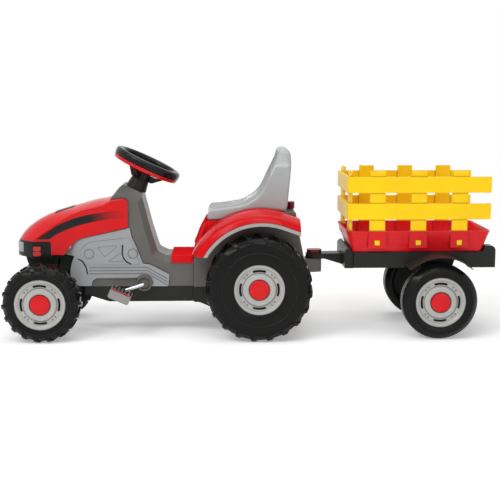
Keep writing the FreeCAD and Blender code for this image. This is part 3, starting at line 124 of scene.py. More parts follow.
# %% World
soft_level, wall_level = 0.42, 1.0
world = bpy.data.worlds.new("studio")
bpy.context.scene.world = world
world.use_nodes = True
sky = world.node_tree
sky.nodes.clear()
light_path = add_node(sky, "LightPath")
soft_light = add_node(sky, "Background", Strength=soft_level)
white_wall = add_node(sky, "Background", Color=(1.0, 1.0, 1.0, 1.0), Strength=wall_level)
seen = add_node(sky, "Math")
seen.operation = "MAXIMUM"
seen_through = add_node(sky, "Math")
seen_through.operation = "MAXIMUM"
choose = add_node(sky, "MixShader")
sky_out = add_node(sky, "OutputWorld")
wire(sky,
     (light_path.outputs["Is Camera Ray"], seen.inputs[0]),
     (light_path.outputs["Is Glossy Ray"], seen.inputs[1]),
     (seen.outputs[0], seen_through.inputs[0]),
     (light_path.outputs["Is Transmission Ray"], seen_through.inputs[1]),
     (seen_through.outputs[0], choose.inputs[0]),
     (soft_light.outputs[0], choose.inputs[1]),
     (white_wall.outputs[0], choose.inputs[2]),
     (choose.outputs[0], sky_out.inputs["Surface"]))
print("soft light", soft_level, "wall", wall_level)


# %% [markdown]
# Wide lamps add the direction: one over the nose, one from above and a weak one in front. A long narrow lamp
# above the near side draws the thin bright lines along the creases. Area lamps are chosen because their size
# sets how soft a shadow is.

# %% Lamps
def soft_lamp(name, place, target, width, height, watts):
    """A rectangular lamp of the given width and height at place, turned so that it shines on target."""
    data = bpy.data.lights.new(name, "AREA")
    data.shape = "RECTANGLE"
    data.size = width
    data.size_y = height
    data.energy = watts
    lamp = bpy.data.objects.new(name, data)
    lamp.location = place
    aim = np.array(target) - np.array(place)
    flat = math.hypot(aim[0], aim[1])
    lamp.rotation_euler = (math.atan2(flat, -aim[2]), 0.0, math.atan2(-aim[0], aim[1]))
    bpy.context.scene.collection.objects.link(lamp)
    return lamp


lamps = [soft_lamp("lamp_nose", (-1.9, -2.4, 2.9), (-0.2, 0.0, 0.3), 1.2, 1.2, 36.0),
         soft_lamp("lamp_top", (0.3, 0.3, 3.2), (0.0, 0.0, 0.2), 2.6, 2.6, 38.0),
         soft_lamp("lamp_line", (-0.9, -1.6, 2.6), (-0.1, 0.0, 0.3), 4.4, 0.25, 34.0),
         soft_lamp("lamp_front", (1.6, -3.6, 1.3), (0.2, 0.0, 0.3), 2.2, 2.2, 13.0)]
print("lamps", [lamp.name for lamp in lamps])


# %% [markdown]
# Almost every new shape here is a grid of points: rows and columns worked out at once with numpy, and four
# neighbours make a face. One helper turns such a grid into a mesh, so that each later cell only has to say
# where the points are.

# %% Grids
def grid_faces(rows, columns, close_rows, close_columns):
    """Quads between neighbours of a rows x columns grid; a closed way joins its last line to its first."""
    r, c = np.meshgrid(np.arange(rows if close_rows else rows - 1),
                       np.arange(columns if close_columns else columns - 1), indexing="ij")
    below, right = (r + 1) % rows, (c + 1) % columns
    corners = [r * columns + c, r * columns + right, below * columns + right, below * columns + c]
    return np.stack(corners, axis=-1).reshape(-1, 4)


def mesh_from(name, points, faces):
    """Mesh of a point array (n, 3) and a face array (m, 3 or 4), filled in whole arrays."""
    mesh = bpy.data.meshes.new(name)
    corners = faces.shape[1]
    mesh.vertices.add(len(points))
    mesh.vertices.foreach_set("co", np.asarray(points, np.float32).ravel())
    mesh.loops.add(faces.size)
    mesh.loops.foreach_set("vertex_index", faces.astype(np.int32).ravel())
    mesh.polygons.add(len(faces))
    mesh.polygons.foreach_set("loop_start", np.arange(0, faces.size, corners, dtype=np.int32))
    mesh.polygons.foreach_set("loop_total", np.full(len(faces), corners, np.int32))
    mesh.update(calc_edges=True)
    return mesh


def settle(mesh, angle=35.0):
    """Joins doubled points, points every face outwards and shades smoothly up to the given angle."""
    work = bmesh.new()
    work.from_mesh(mesh)
    bmesh.ops.remove_doubles(work, verts=work.verts, dist=1e-6)
    bmesh.ops.recalc_face_normals(work, faces=work.faces)
    work.to_mesh(mesh)
    work.free()
    mesh.shade_smooth()
    mesh.set_sharp_from_angle(angle=math.radians(angle))
    return mesh


def add_piece(name, mesh, body, finish):
    """Puts a finished mesh into the scene as a piece that rides on a body."""
    mesh.materials.clear()
    mesh.materials.append(finish)
    piece = bpy.data.objects.new(name, mesh)
    bpy.context.scene.collection.objects.link(piece)
    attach(piece, body)
    return piece


print("grid helpers")


# %% [markdown]
# The floor is white paper that keeps the soft shadow. It glows a little, as overexposed studio paper does,
# and far from the toy it turns into plain white light, so that its edge can't be seen against the white wall
# behind it.

# %% Floor
def floor_finish(fade_start, fade_end):
    """White paper that takes shadows and fades to plain white between two distances from the middle."""
    finish = bpy.data.materials.new("white_paper")
    finish.use_nodes = True
    tree = finish.node_tree
    tree.nodes.clear()
    place = add_node(tree, "TexCoord")
    distance = add_node(tree, "VectorMath")
    distance.operation = "LENGTH"
    paper = add_node(tree, "BsdfDiffuse", Color=(0.92, 0.92, 0.92, 1.0))
    bright = add_node(tree, "Emission", Strength=0.3)
    lit_paper = add_node(tree, "AddShader")
    glow = add_node(tree, "Emission")
    mix = add_node(tree, "MixShader")
    out = add_node(tree, "OutputMaterial")
    wire(tree, (place.outputs["Object"], distance.inputs[0]))
    fade = spread(tree, distance.outputs["Value"], 0.0, 1.0, fade_start, fade_end, "SMOOTHSTEP")
    wire(tree,
         (paper.outputs[0], lit_paper.inputs[0]),
         (bright.outputs[0], lit_paper.inputs[1]),
         (fade, mix.inputs[0]),
         (lit_paper.outputs[0], mix.inputs[1]),
         (glow.outputs[0], mix.inputs[2]),
         (mix.outputs[0], out.inputs["Surface"]))
    return finish


floor_radius, floor_drop = 6.0, 0.0005
floor_rings, floor_spokes = 13, 72
ring, turn = np.meshgrid(np.linspace(0.0, floor_radius, floor_rings),
                         np.linspace(0, 2 * np.pi, floor_spokes, endpoint=False), indexing="ij")
floor_points = np.stack([ring * np.cos(turn), ring * np.sin(turn), np.full_like(ring, -floor_drop)], axis=-1)
floor_faces = grid_faces(floor_rings, floor_spokes, False, True)
floor_mesh = settle(mesh_from("floor", floor_points.reshape(-1, 3), floor_faces))
floor_mesh.materials.append(floor_finish(0.9, 2.2))
floor = bpy.data.objects.new("floor", floor_mesh)
bpy.context.scene.collection.objects.link(floor)
print("floor radius", floor_radius)


# %% [markdown]
# Every finish starts from Blender's Principled shader and from places on the object itself, so that a pattern
# stays on its piece when it moves. Noise gives the unevenness of real surfaces, and a blend of two colours
# follows it.

# %% Finish helpers
def linear(red, green, blue):
    """Screen colour from 0 to 255 as the linear colour that a shader wants."""
    share = np.array([red, green, blue]) / 255.0
    value = np.where(share <= 0.04045, share / 12.92, ((share + 0.055) / 1.055) ** 2.4)
    return (float(value[0]), float(value[1]), float(value[2]), 1.0)


def start_finish(name):
    """A new material, its node tree, its shader and the socket that gives places on the object."""
    finish = bpy.data.materials.new(name)
    finish.use_nodes = True
    tree = finish.node_tree
    return finish, tree, tree.nodes["Principled BSDF"], add_node(tree, "TexCoord").outputs["Object"]


def noise(tree, place, scale, detail=2.0):
    """Socket of a cloudy noise with about scale spots to the metre."""
    texture = add_node(tree, "TexNoise", Scale=scale, Detail=detail)
    wire(tree, (place, texture.inputs["Vector"]))
    return texture.outputs["Fac"]


def blend(tree, share, near, far):
    """Socket of a colour: near where share is 0 and far where it is 1; each is a colour or a socket."""
    mix = add_node(tree, "Mix")
    mix.data_type = "RGBA"
    wire(tree, (share, mix.inputs["Factor"]))
    for entry, colour in (("A", near), ("B", far)):
        if isinstance(colour, bpy.types.NodeSocket):
            wire(tree, (colour, mix.inputs[entry]))
        else:
            mix.inputs[entry].default_value = colour
    return mix.outputs["Result"]


def toned(colour, share):
    """The colour made darker or lighter by a share, at most white."""
    return [min(1.0, part * share) for part in colour[:3]] + [1.0]


print("finish helpers")


# %% [markdown]
# Most of the toy is moulded plastic. Real plastic is never one flat colour: the pigment is a little cloudy,
# the gloss changes where hands and knees rub it and the mould leaves a fine grain. Every edge is rounded.
# The recipe also paints shade into the grooves and a pale highlight along the edges. One recipe covers all
# of it. A Bevel node finds the edges, because the angle between the rounded and the true direction of the
# surface is large only there, and an Ambient Occlusion node finds the grooves.

# %% Plastic
cloud_scale, gloss_scale, grain_scale = 9.0, 38.0, 700.0
noise_low, noise_high = 0.3, 0.7
# The second distance is how far the painted shade in grooves reaches.
grain_depth, painted_shade_reach = 0.2 * MM, 5.0 * MM
# Pale colour of the painted highlight along the edges.
highlight_white = (0.75, 0.75, 0.75, 1.0)


def plastic(name, colour, roughness, grain=0.03, cloud=0.05, edge_highlight=0.06, edge=1.5, specular=0.35):
    """Moulded plastic: cloudy pigment, uneven gloss, mould grain, painted shade in grooves, rounded edges
    with a painted highlight.
    """
    finish, tree, shader, place = start_finish(name)
    shader.inputs["Specular IOR Level"].default_value = specular

    cloudy = spread(tree, noise(tree, place, cloud_scale, 3.0), 0.0, 1.0, noise_low, noise_high)
    pigment = blend(tree, cloudy, toned(colour, 1 - cloud), toned(colour, 1 + cloud))

    rounded = add_node(tree, "Bevel", Radius=edge * MM)
    rounded.samples = 6
    surface = add_node(tree, "NewGeometry")
    turn_of_edge = add_node(tree, "VectorMath")
    turn_of_edge.operation = "DOT_PRODUCT"
    wire(tree, (rounded.outputs["Normal"], turn_of_edge.inputs[0]),
         (surface.outputs["Normal"], turn_of_edge.inputs[1]))
    # Painted highlight: the colour turns towards pale white on the edges, where the Bevel normal leaves the
    # true normal.
    on_edge = spread(tree, turn_of_edge.outputs["Value"], 0.0, edge_highlight, 0.98, 0.75)
    edge_highlighted = blend(tree, on_edge, pigment, highlight_white)

    # Painted shade: an Ambient Occlusion node darkens the colour in grooves and corners where shade falls.
    painted_groove_shade = add_node(tree, "AmbientOcclusion", Distance=painted_shade_reach)
    painted_groove_shade.samples = 8
    gloss = spread(tree, noise(tree, place, gloss_scale, 4.0), roughness - 0.05, roughness + 0.07,
                   noise_low, noise_high)
    relief = add_node(tree, "Bump", Strength=grain, Distance=grain_depth)
    wire(tree,
         (edge_highlighted, painted_groove_shade.inputs["Color"]),
         (painted_groove_shade.outputs["Color"], shader.inputs["Base Color"]),
         (gloss, shader.inputs["Roughness"]),
         (noise(tree, place, grain_scale), relief.inputs["Height"]),
         (rounded.outputs["Normal"], relief.inputs["Normal"]),
         (relief.outputs["Normal"], shader.inputs["Normal"]))
    return finish


print("recipe for plastic")

# %% [markdown]
# Each colour of the toy only changes a few numbers of that recipe. Large glossy covers have a wide round
# edge, thin or matt pieces a small one. The saddle is matt, since its sloping front would mirror the white
# wall otherwise.

# %% Colours of the plastics
finishes = {
    "red": plastic("red_plastic", linear(206, 10, 17), 0.16, edge=3.5, specular=0.24),
    "fender_red": plastic("fender_red_plastic", linear(200, 10, 18), 0.2, edge=3.5, specular=0.12),
    "saddle_red": plastic("saddle_red_plastic", linear(214, 28, 34), 0.4, edge=3.5, specular=0.0),
    "dark_red": plastic("dark_red_plastic", linear(112, 10, 16), 0.26, edge=2.0, specular=0.25),
    "tub_red": plastic("tub_red_plastic", linear(218, 26, 33), 0.3, edge=2.0, specular=0.2),
    "yellow": plastic("yellow_plastic", linear(255, 206, 10), 0.32, edge=2.0, specular=0.2),
    "silver": plastic("silver_plastic", linear(152, 154, 156), 0.32, edge=0.8, specular=0.35),
    "rim": plastic("rim_plastic", linear(170, 169, 166), 0.3, edge=1.5, specular=0.4),
    "seat": plastic("seat_plastic", linear(160, 161, 162), 0.2, edge=2.0, specular=0.55),
    "trim": plastic("trim_plastic", linear(160, 157, 153), 0.34, specular=0.3),
    "pedal": plastic("pedal_plastic", linear(140, 139, 137), 0.34, edge=2.0, specular=0.3),
    "dark_grey": plastic("dark_grey_plastic", linear(97, 96, 92), 0.33, grain=0.06, edge=3.0, specular=0.25),
    "black": plastic("black_plastic", linear(40, 40, 38), 0.32, grain=0.06, edge=2.0, specular=0.12),
    "gloss_black": plastic("gloss_black_plastic", linear(20, 20, 20), 0.18, edge=2.0, specular=0.18),
    "tyre": plastic("tyre_plastic", linear(17, 17, 16), 0.17, grain=0.05, edge=3.0, specular=0.13),
    "bearing": plastic("bearing_plastic", linear(215, 212, 202), 0.5),
}
print("plastics", sorted(finishes))


# %% [markdown]
# The crank, the axles and the chain are steel rod and sheet. Bright zinc has faint lines drawn along the rod
# and a slightly blue tone. A noise that is stretched along one direction makes such lines.

# %% Steel
def steel(name, colour, roughness):
    """Zinc-plated steel: metal with a cloudy gloss and fine drawn lines across the object's width."""
    finish, tree, shader, place = start_finish(name)
    shader.inputs["Metallic"].default_value = 1.0
    stretch = add_node(tree, "Mapping", Scale=(1.0, 0.03, 1.0))
    wire(tree, (place, stretch.inputs["Vector"]))
    lines = noise(tree, stretch.outputs["Vector"], 1500.0, 3.0)
    cloud = noise(tree, place, 60.0, 4.0)
    relief = add_node(tree, "Bump", Strength=0.15, Distance=0.1 * MM)
    wire(tree,
         (blend(tree, cloud, toned(colour, 0.82), colour), shader.inputs["Base Color"]),
         (spread(tree, cloud, roughness - 0.1, roughness + 0.14), shader.inputs["Roughness"]),
         (lines, relief.inputs["Height"]),
         (relief.outputs["Normal"], shader.inputs["Normal"]))
    return finish


finishes["steel"] = steel("zinc_steel", linear(206, 208, 212), 0.3)
finishes["dark_steel"] = steel("oiled_steel", linear(110, 108, 106), 0.4)
print("metals", "steel", "dark_steel")

# %% [markdown]
# Each solid gets the finish of the real piece. The wheels are alike on all three axles, so a loop fills in
# their tyres, rims and red caps.

# %% Finish of each solid
look_of = {
    "red": ["hood", "steering_ring"],
    "fender_red": ["fender_left", "fender_right"],
    "saddle_red": ["seat_base"],
    "dark_red": ["seat_knob", "hitch_pin"],
    "tub_red": ["trailer_tub"],
    "yellow": ["fence_left", "fence_right", "fence_front"],
    "silver": ["engine_panel_left", "engine_panel_right"],
    "seat": ["seat"],
    "trim": ["fender_trims"],
    "pedal": ["pedal_left", "pedal_right"],
    "dark_grey": ["main_body", "rear_body", "hitch_bracket", "crank_bushes"],
    "black": ["chassis_frame", "front_carrier", "front_axle_beam", "knuckle_left", "knuckle_right", "tie_rod",
              "drawbar", "trailer_frame", "steering_column"],
    "gloss_black": ["nose_band", "steering_wheel", "steering_cap"],
    "bearing": ["steering_bushes", "axle_bushes"],
    "steel": ["crank_axle", "rear_axle", "trailer_axle", "steering_shaft"],
    "dark_steel": ["drive_chain", "chainring", "rear_sprocket"],
    "tyre": [],
    "rim": [],
}
for axle in ("front", "rear", "trailer"):
    for side in ("left", "right"):
        look_of["tyre"].append(f"{axle}_tyre_{side}")
        look_of["rim"].append(f"{axle}_rim_{side}")
        look_of["red"].append(f"{axle}_cap_{side}")


# %% [markdown]
# The loaded solids are loose triangles with flat shading, which shows as facets on curved mouldings. A copy
# with joined corners can be shaded smoothly up to a limiting angle, so that round parts look round and edges
# stay crisp.

# %% Dress the solids
def merged_copy(node):
    """Mesh of a node with its doubled corners joined: equal rounded places become one point."""
    source = nodes[node].data
    places = np.empty(len(source.vertices) * 3, np.float32)
    source.vertices.foreach_get("co", places)
    corners = np.empty(len(source.loops), np.int32)
    source.loops.foreach_get("vertex_index", corners)
    points, joined = np.unique(np.round(places.reshape(-1, 3), 7), axis=0, return_inverse=True)
    faces = joined.ravel()[corners].reshape(-1, 3)
    real = (faces[:, 0] != faces[:, 1]) & (faces[:, 1] != faces[:, 2]) & (faces[:, 2] != faces[:, 0])
    return mesh_from(node + "_moulding", points, faces[real])


def dress(node, look, angle=32.0):
    """A smoothly shaded copy of a node in its finish, which stands for that node."""
    mesh = merged_copy(node)
    mesh.shade_smooth()
    mesh.set_sharp_from_angle(angle=math.radians(angle))
    piece = add_piece(node + "_moulding", mesh, body_of[node], finishes[look])
    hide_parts(node)
    return piece


dressed = {name: dress(name, look) for look, names in look_of.items() for name in names}
print("dressed", len(dressed), "missing", sorted(set(nodes) - set(dressed)))

# %% [markdown]
# The seat is blow-moulded: hot plastic swells against the mould and leaves no sharp edge anywhere. A Remesh
# modifier casts the seat again in small even quads, and a Smooth modifier lets every edge run out into a soft
# roll.

# %% Soft seat
cast = dressed["seat"].modifiers.new("cast", "REMESH")
cast.mode = "VOXEL"
cast.voxel_size = 3.0 * MM
cast.use_smooth_shade = True
soften = dressed["seat"].modifiers.new("soften", "SMOOTH")
soften.factor = 0.5
soften.iterations = 36
print("soft seat", cast.voxel_size)


# %% [markdown]
# Some small mouldings are flat plates with an outline, such as a reflector or a stud. One function makes any
# number of equal plates at once: the outline is drawn in and lifted step by step, which closes the plate and
# breaks its upper edge.

# %% Plates
def plates(name, outline, low, high, origins, axes):
    """
    Closed plates, one at every origin.

    Point = origin + a * axes[0] + b * axes[1] + c * axes[2]. Here (a, b) is the outline drawn towards its
    middle by a share, and c is the height. The share is 0, 1, 1, 0.93, 0 at the height low, low,
    high - 0.2 (high - low), high, high.
    """
    outline = np.asarray(outline, float)
    share = np.array([0.0, 1.0, 1.0, 0.93, 0.0])
    height = np.array([low, low, high - 0.2 * (high - low), high, high])
    middle = outline.mean(axis=0)
    flat = middle + share[:, None, None] * (outline - middle)
    local = np.concatenate([flat, np.broadcast_to(height[:, None, None], flat.shape[:2] + (1,))], axis=2)
    origins = np.asarray(origins, float).reshape(-1, 1, 1, 3)
    points = (local @ np.asarray(axes, float))[None] + origins
    count = len(share) * len(outline)
    faces = grid_faces(len(share), len(outline), False, True)
    faces = (faces[None] + count * np.arange(len(origins))[:, None, None]).reshape(-1, 4)
    return settle(mesh_from(name, points.reshape(-1, 3) * MM, faces))


def circle(radius, count=20):
    """Outline of a circle: (r cos t, r sin t)."""
    t = np.linspace(0, 2 * np.pi, count, endpoint=False)
    return np.stack([radius * np.cos(t), radius * np.sin(t)], axis=1)


def soft_box(width, height, power=6.0, count=64):
    """Outline of a rectangle with soft corners: |2 a / width| ** p + |2 b / height| ** p = 1."""
    t = np.linspace(0, 2 * np.pi, count, endpoint=False)
    a = np.sign(np.cos(t)) * np.abs(np.cos(t)) ** (2 / power)
    b = np.sign(np.sin(t)) * np.abs(np.sin(t)) ** (2 / power)
    return np.stack([a * width / 2, b * height / 2], axis=1)


def side_axes(sign):
    """Directions of a plate on a side face: along the toy, up, and out of the side."""
    return [[1, 0, 0], [0, 0, 1], [0, sign, 0]]


sides = {"left": -1.0, "right": 1.0}
print("plates for", sorted(sides))


# %% [markdown]
# Other mouldings are thin shells that lie on a surface, such as a foil. Their front and back sheets share one
# border, so that they close by themselves. Their lines are smooth curves through a few corners.

# %% Thin shells and smooth lines
def two_sheets(name, front, back):
    """Closed shell between two grids of points whose borders are the same."""
    rows, columns = front.shape[:2]
    points = np.concatenate([front.reshape(-1, 3), back.reshape(-1, 3)])
    faces = grid_faces(rows, columns, False, False)
    faces = np.concatenate([faces, faces[:, ::-1] + rows * columns])
    return settle(mesh_from(name, points * MM, faces), 60.0)


def thin_shell(name, middle, out, thickness):
    """
    Thin closed shell on a grid of points with outward directions.

    Front and back sheet = middle +/- out * thickness / 2 * w(u) w(v), where w(s) = 1 - (2 s - 1) ** 12 falls
    to nothing at the border, so that the two sheets meet there.
    """
    rows, columns = middle.shape[:2]
    fall_u = 1 - (2 * np.linspace(0, 1, rows) - 1) ** 12
    fall_v = 1 - (2 * np.linspace(0, 1, columns) - 1) ** 12
    push = out * (thickness / 2 * fall_u[:, None] * fall_v[None, :])[..., None]
    return two_sheets(name, middle + push, middle - push)


def smooth_line(corners, count):
    """Points on a Catmull-Rom curve: a cubic between neighbours with slopes from the corners around them."""
    p = np.asarray(corners, float)
    p = np.vstack([2 * p[0] - p[1], p, 2 * p[-1] - p[-2]])
    s = np.linspace(0, len(corners) - 1, count)
    i = np.minimum(s.astype(int), len(corners) - 2)
    t = (s - i)[:, None]
    a, b, c, d = p[i], p[i + 1], p[i + 2], p[i + 3]
    square, cube = 2 * a - 5 * b + 4 * c - d, 3 * b - a - 3 * c + d
    return 0.5 * (2 * b + (c - a) * t + square * t ** 2 + cube * t ** 3)


def on_side(flat, y):
    """Puts a grid or line of (x, z) points on the plane at y."""
    return np.stack([flat[..., 0], np.full(flat.shape[:-1], y), flat[..., 1]], axis=-1)


print("shells and lines")


# %% [markdown]
# A dark foil runs along each side of the hood: black at the nose, and towards the dashboard it fades into the
# red. It is a strip between two curves, laid on the flat side. The fade is a mix of two colours along the
# length of the toy.

# %% Hood foil
def fading_foil(name, near, far, start, end):
    """Foil whose colour runs from near to far between two places along the length, with an uneven gloss."""
    finish, tree, shader, place = start_finish(name)
    shader.inputs["Specular IOR Level"].default_value = 0.25
    split = add_node(tree, "SeparateXYZ")
    wire(tree, (place, split.inputs[0]))
    fade = spread(tree, split.outputs["X"], 0.0, 1.0, start * MM, end * MM, "SMOOTHSTEP")
    wire(tree,
         (blend(tree, fade, near, far), shader.inputs["Base Color"]),
         (spread(tree, noise(tree, place, 45.0), 0.16, 0.3), shader.inputs["Roughness"]))
    return finish


finishes["foil"] = fading_foil("hood_foil", linear(20, 18, 18), linear(190, 14, 20), -500.0, -392.0)
hood_half, foil_lift, foil_thickness = 84.0, 0.05, 0.5
foil_top = smooth_line([(-655, 296), (-628, 315), (-596, 336), (-554, 355), (-507, 369), (-446, 379),
                        (-390, 384)], 48)
foil_low = smooth_line([(-617, 296), (-585, 316), (-539, 334), (-500, 345), (-461, 353), (-425, 357),
                        (-390, 360)], 48)
rise = np.linspace(0, 1, 9)[None, :, None]
foil_side = foil_low[:, None] * (1 - rise) + foil_top[:, None] * rise
for side, sign in sides.items():
    middle = on_side(foil_side, sign * (hood_half + foil_lift))
    foil = thin_shell(f"hood_foil_{side}", middle, np.array([0.0, sign, 0.0]), foil_thickness)
    add_piece(f"hood_foil_{side}", foil, body_of["hood"], finishes["foil"])
print("foil", foil_side.shape)


# %% [markdown]
# Where the hood's top meets its flat side, the mould is rolled over in a soft round edge that catches the
# light. The saddle's front edges and the mudguards' inner edges are rolled in the same way. A tube along the
# edge makes it: at every point a circle stands across the line, drawn in so far that only its crown shows.

# %% Rolled edges
def rolled_edge(name, line, y, radius, depth, tilt):
    """
    Closed tube along an edge of (x, z) points at the given y.

    Centre = edge - depth (cos(tilt) outward + sin(tilt) lift), where lift stands square to the edge and
    outward points away from the middle. Surface = centre + radius w (cos t outward + sin t lift), and
    w = sqrt(1 - s ** 24) closes both ends.
    """
    ahead = np.gradient(line, axis=0)
    ahead = ahead / np.linalg.norm(ahead, axis=1, keepdims=True)
    lift = np.stack([-ahead[:, 1], np.zeros(len(ahead)), ahead[:, 0]], axis=1)
    outward = np.array([0.0, np.sign(y), 0.0])
    centre = on_side(line, y) - depth * (math.cos(tilt) * outward + math.sin(tilt) * lift)
    closing = np.sqrt(1 - np.linspace(-1, 1, len(line)) ** 24)[:, None, None]
    t = np.linspace(0, 2 * np.pi, 24, endpoint=False)[None, :, None]
    tube = centre[:, None] + radius * closing * (np.cos(t) * outward + np.sin(t) * lift[:, None])
    return settle(mesh_from(name, tube.reshape(-1, 3) * MM, grid_faces(len(line), 24, False, True)))


hood_crease = smooth_line([(-660, 295), (-655, 303), (-620, 326), (-585, 350), (-538, 376), (-492, 391),
                           (-450, 401), (-425, 413), (-380, 415)], 90)
saddle_edge = smooth_line([(-179, 241.5), (-160, 294.5), (-142, 344.5)], 40)
guard_x, guard_z, guard_radius = 27.0, 160.0, 229.0
guard_turn = np.radians(np.linspace(-64.6, 18.0, 90))
guard_edge = np.stack([guard_x + guard_radius * np.sin(guard_turn),
                       guard_z + guard_radius * np.cos(guard_turn)], axis=1)
rolls = {"hood": (hood_crease, hood_half, 5.0, 4.4, 28.5, "hood", "red"),
         "saddle": (saddle_edge, 95.4, 5.0, 4.4, 45.0, "seat_base", "fender_red"),
         "fender": (guard_edge, 95.8, 4.0, 2.0, 135.0, "fender_{}", "fender_red")}
for side, sign in sides.items():
    for place, (line, y, radius, depth, tilt, node, look) in rolls.items():
        name = f"{place}_roll_{side}"
        roll = rolled_edge(name, line, sign * y, radius, depth, math.radians(tilt))
        add_piece(name, roll, body_of[node.format(side)], finishes[look])
print("rolled edges", len(rolls) * len(sides))

# %% [markdown]
# The saddle's front swells a little, as large blow-moulded faces do. A grid lies on the sloping face. Its
# front sheet is pushed out by a parabola over the height, which runs out to nothing at the sides, and its
# back sheet stays inside.

# %% Saddle front
saddle_foot, saddle_head = np.array([-181.4, 235.0]), np.array([-140.0, 350.0])
saddle_half, swell = 95.0, 8.0
up, over = np.meshgrid(np.linspace(0, 1, 25), np.linspace(-1, 1, 41), indexing="ij")
slope_line = saddle_foot + up[..., None] * (saddle_head - saddle_foot)
face = np.stack([slope_line[..., 0], saddle_half * over, slope_line[..., 1]], axis=-1)
run, climb = saddle_head - saddle_foot
out_of_face = np.array([-climb, 0.0, run]) / math.hypot(run, climb)
bulge = ((1 - (2 * up - 1) ** 2) * (1 - over ** 10))[..., None] * out_of_face
saddle_front = two_sheets("saddle_front", face + swell * bulge, face - bulge)
add_piece("saddle_front", saddle_front, body_of["seat_base"], finishes["saddle_red"])
print("saddle front", swell)

# %% [markdown]
# The black band round the nose holds a lamp lens in each front corner and a red reflector on each side. The
# nose is bowed like a parabola, x = nose + bow (y / half) ** 2, and the lens follows that line.

# %% Lamps and reflectors
nose_x, nose_bow = -727.0, 59.0
lens_inner, lens_outer, lens_low, lens_high = 24.0, 56.0, 253.0, 283.0
lens_lift, lens_thickness = 0.2, 3.0
reflector_x, reflector_heights = -655.0, (266.5, 251.0)
finishes["lens"] = plastic("lamp_lens", linear(150, 155, 158), 0.12, grain=0.0, edge=0.6, specular=0.6)
finishes["reflector"] = plastic("reflector_red", linear(196, 12, 22), 0.14, grain=0.0, edge=0.6, specular=0.5)
for side, sign in sides.items():
    y, z = np.meshgrid(sign * np.linspace(lens_inner, lens_outer, 24), np.linspace(lens_low, lens_high, 16),
                       indexing="ij")
    x = nose_x + nose_bow * (y / hood_half) ** 2
    slope = 2 * nose_bow * y / hood_half ** 2
    out = np.stack([-np.ones_like(y), slope, np.zeros_like(y)], axis=-1)
    out = out / np.linalg.norm(out, axis=-1, keepdims=True)
    middle = np.stack([x, y, z], axis=-1) + lens_lift * out
    lens = thin_shell(f"lamp_lens_{side}", middle, out, lens_thickness)
    add_piece(f"lamp_lens_{side}", lens, body_of["nose_band"], finishes["lens"])
    blocks = [[reflector_x, sign * hood_half, height] for height in reflector_heights]
    reflector = plates(f"reflector_{side}", soft_box(23, 14.2), -1.0, 2.2, blocks, side_axes(sign))
    add_piece(f"reflector_{side}", reflector, body_of["nose_band"], finishes["reflector"])
print("lamps and reflectors")

# %% [markdown]
# A dark vent sits on top of the hood. The hood's top is a free form, so the vent is drawn as a flat grid
# above it: a Shrinkwrap modifier drops the grid on the hood, and a Solidify modifier gives it its thickness.

# %% Hood vent
vent_x, vent_half_length, vent_half_width, vent_narrowing = -577.5, 28.5, 26.0, 0.18
above_hood, vent_steps = 440.0, 21
u, v = np.meshgrid(np.linspace(-1, 1, vent_steps), np.linspace(-1, 1, vent_steps), indexing="ij")
vent_points = np.stack([vent_x + vent_half_length * u, vent_half_width * v * (1 - vent_narrowing * u),
                        np.full_like(u, above_hood)], axis=-1)
vent_faces = grid_faces(vent_steps, vent_steps, False, False)
vent_mesh = settle(mesh_from("hood_vent", vent_points.reshape(-1, 3) * MM, vent_faces))
vent = add_piece("hood_vent", vent_mesh, body_of["hood"], finishes["gloss_black"])
drop = vent.modifiers.new("drop", "SHRINKWRAP")
drop.target = dressed["hood"]
drop.wrap_method = "PROJECT"
drop.use_project_z = True
drop.use_negative_direction = True
drop.use_positive_direction = False
drop.offset = 0.7 * MM
thicken = vent.modifiers.new("thickness", "SOLIDIFY")
thicken.thickness = 1.4 * MM
thicken.offset = 0.0
print("vent", 2 * vent_half_length, "by", 2 * vent_half_width)


# %% [markdown]
# Two slots on each engine cover are filled with a dark strip, painted shade where the slot's shadow lies.
# Each strip follows the slot's line: straight runs joined by a soft bend, which a parabola between the two
# ends of the bend draws well enough.

# %% Slot strips
def bent_line(corners, count=10):
    """
    Line through corners (x, z, reach), rounded at each inner corner.

    At corner c the parabola (1 - t) ** 2 p + 2 t (1 - t) c + t ** 2 q joins the runs, where p and q lie on
    the two runs at the distance reach from c.
    """
    places = np.array([corner[:2] for corner in corners], float)
    reaches = [corner[2] for corner in corners[1:-1]]
    t = np.linspace(0, 1, count)[:, None]
    runs = [places[:1]]
    for before, here, after, reach in zip(places[:-2], places[1:-1], places[2:], reaches):
        p = here + reach * (before - here) / np.linalg.norm(before - here)
        q = here + reach * (after - here) / np.linalg.norm(after - here)
        runs.append((1 - t) ** 2 * p + 2 * t * (1 - t) * here + t ** 2 * q)
    return np.concatenate(runs + [places[-1:]])


slot_lines = {"front": [(-533, 233.5, 0), (-519, 229, 9.5), (-507, 207, 7.2), (-504, 187, 0)],
              "rear": [(-395, 276, 0), (-397, 244, 9.1), (-386, 225, 7.2), (-371, 217.5, 0)]}
slot_half, slot_y, slot_thickness = 1.75, 78.9, 1.2
# This near-black is painted shade in the slots and behind the wheel discs, and the own black of the pedal
# studs.
finishes["slot"] = plastic("slot_shade_and_stud_black", linear(16, 16, 16), 0.4, edge=0.4, specular=0.15)
for side, sign in sides.items():
    for place, corners in slot_lines.items():
        line = bent_line(corners)
        along = np.gradient(line, axis=0)
        across = np.stack([-along[:, 1], along[:, 0]], axis=1) / np.linalg.norm(along, axis=1, keepdims=True)
        flat = line[:, None] + across[:, None] * np.linspace(-slot_half, slot_half, 5)[None, :, None]
        name = f"slot_{place}_{side}"
        strip = thin_shell(name, on_side(flat, sign * slot_y), np.array([0.0, sign, 0.0]), slot_thickness)
        add_piece(name, strip, body_of[f"engine_panel_{side}"], finishes["slot"])
print("slots", len(slot_lines) * len(sides))
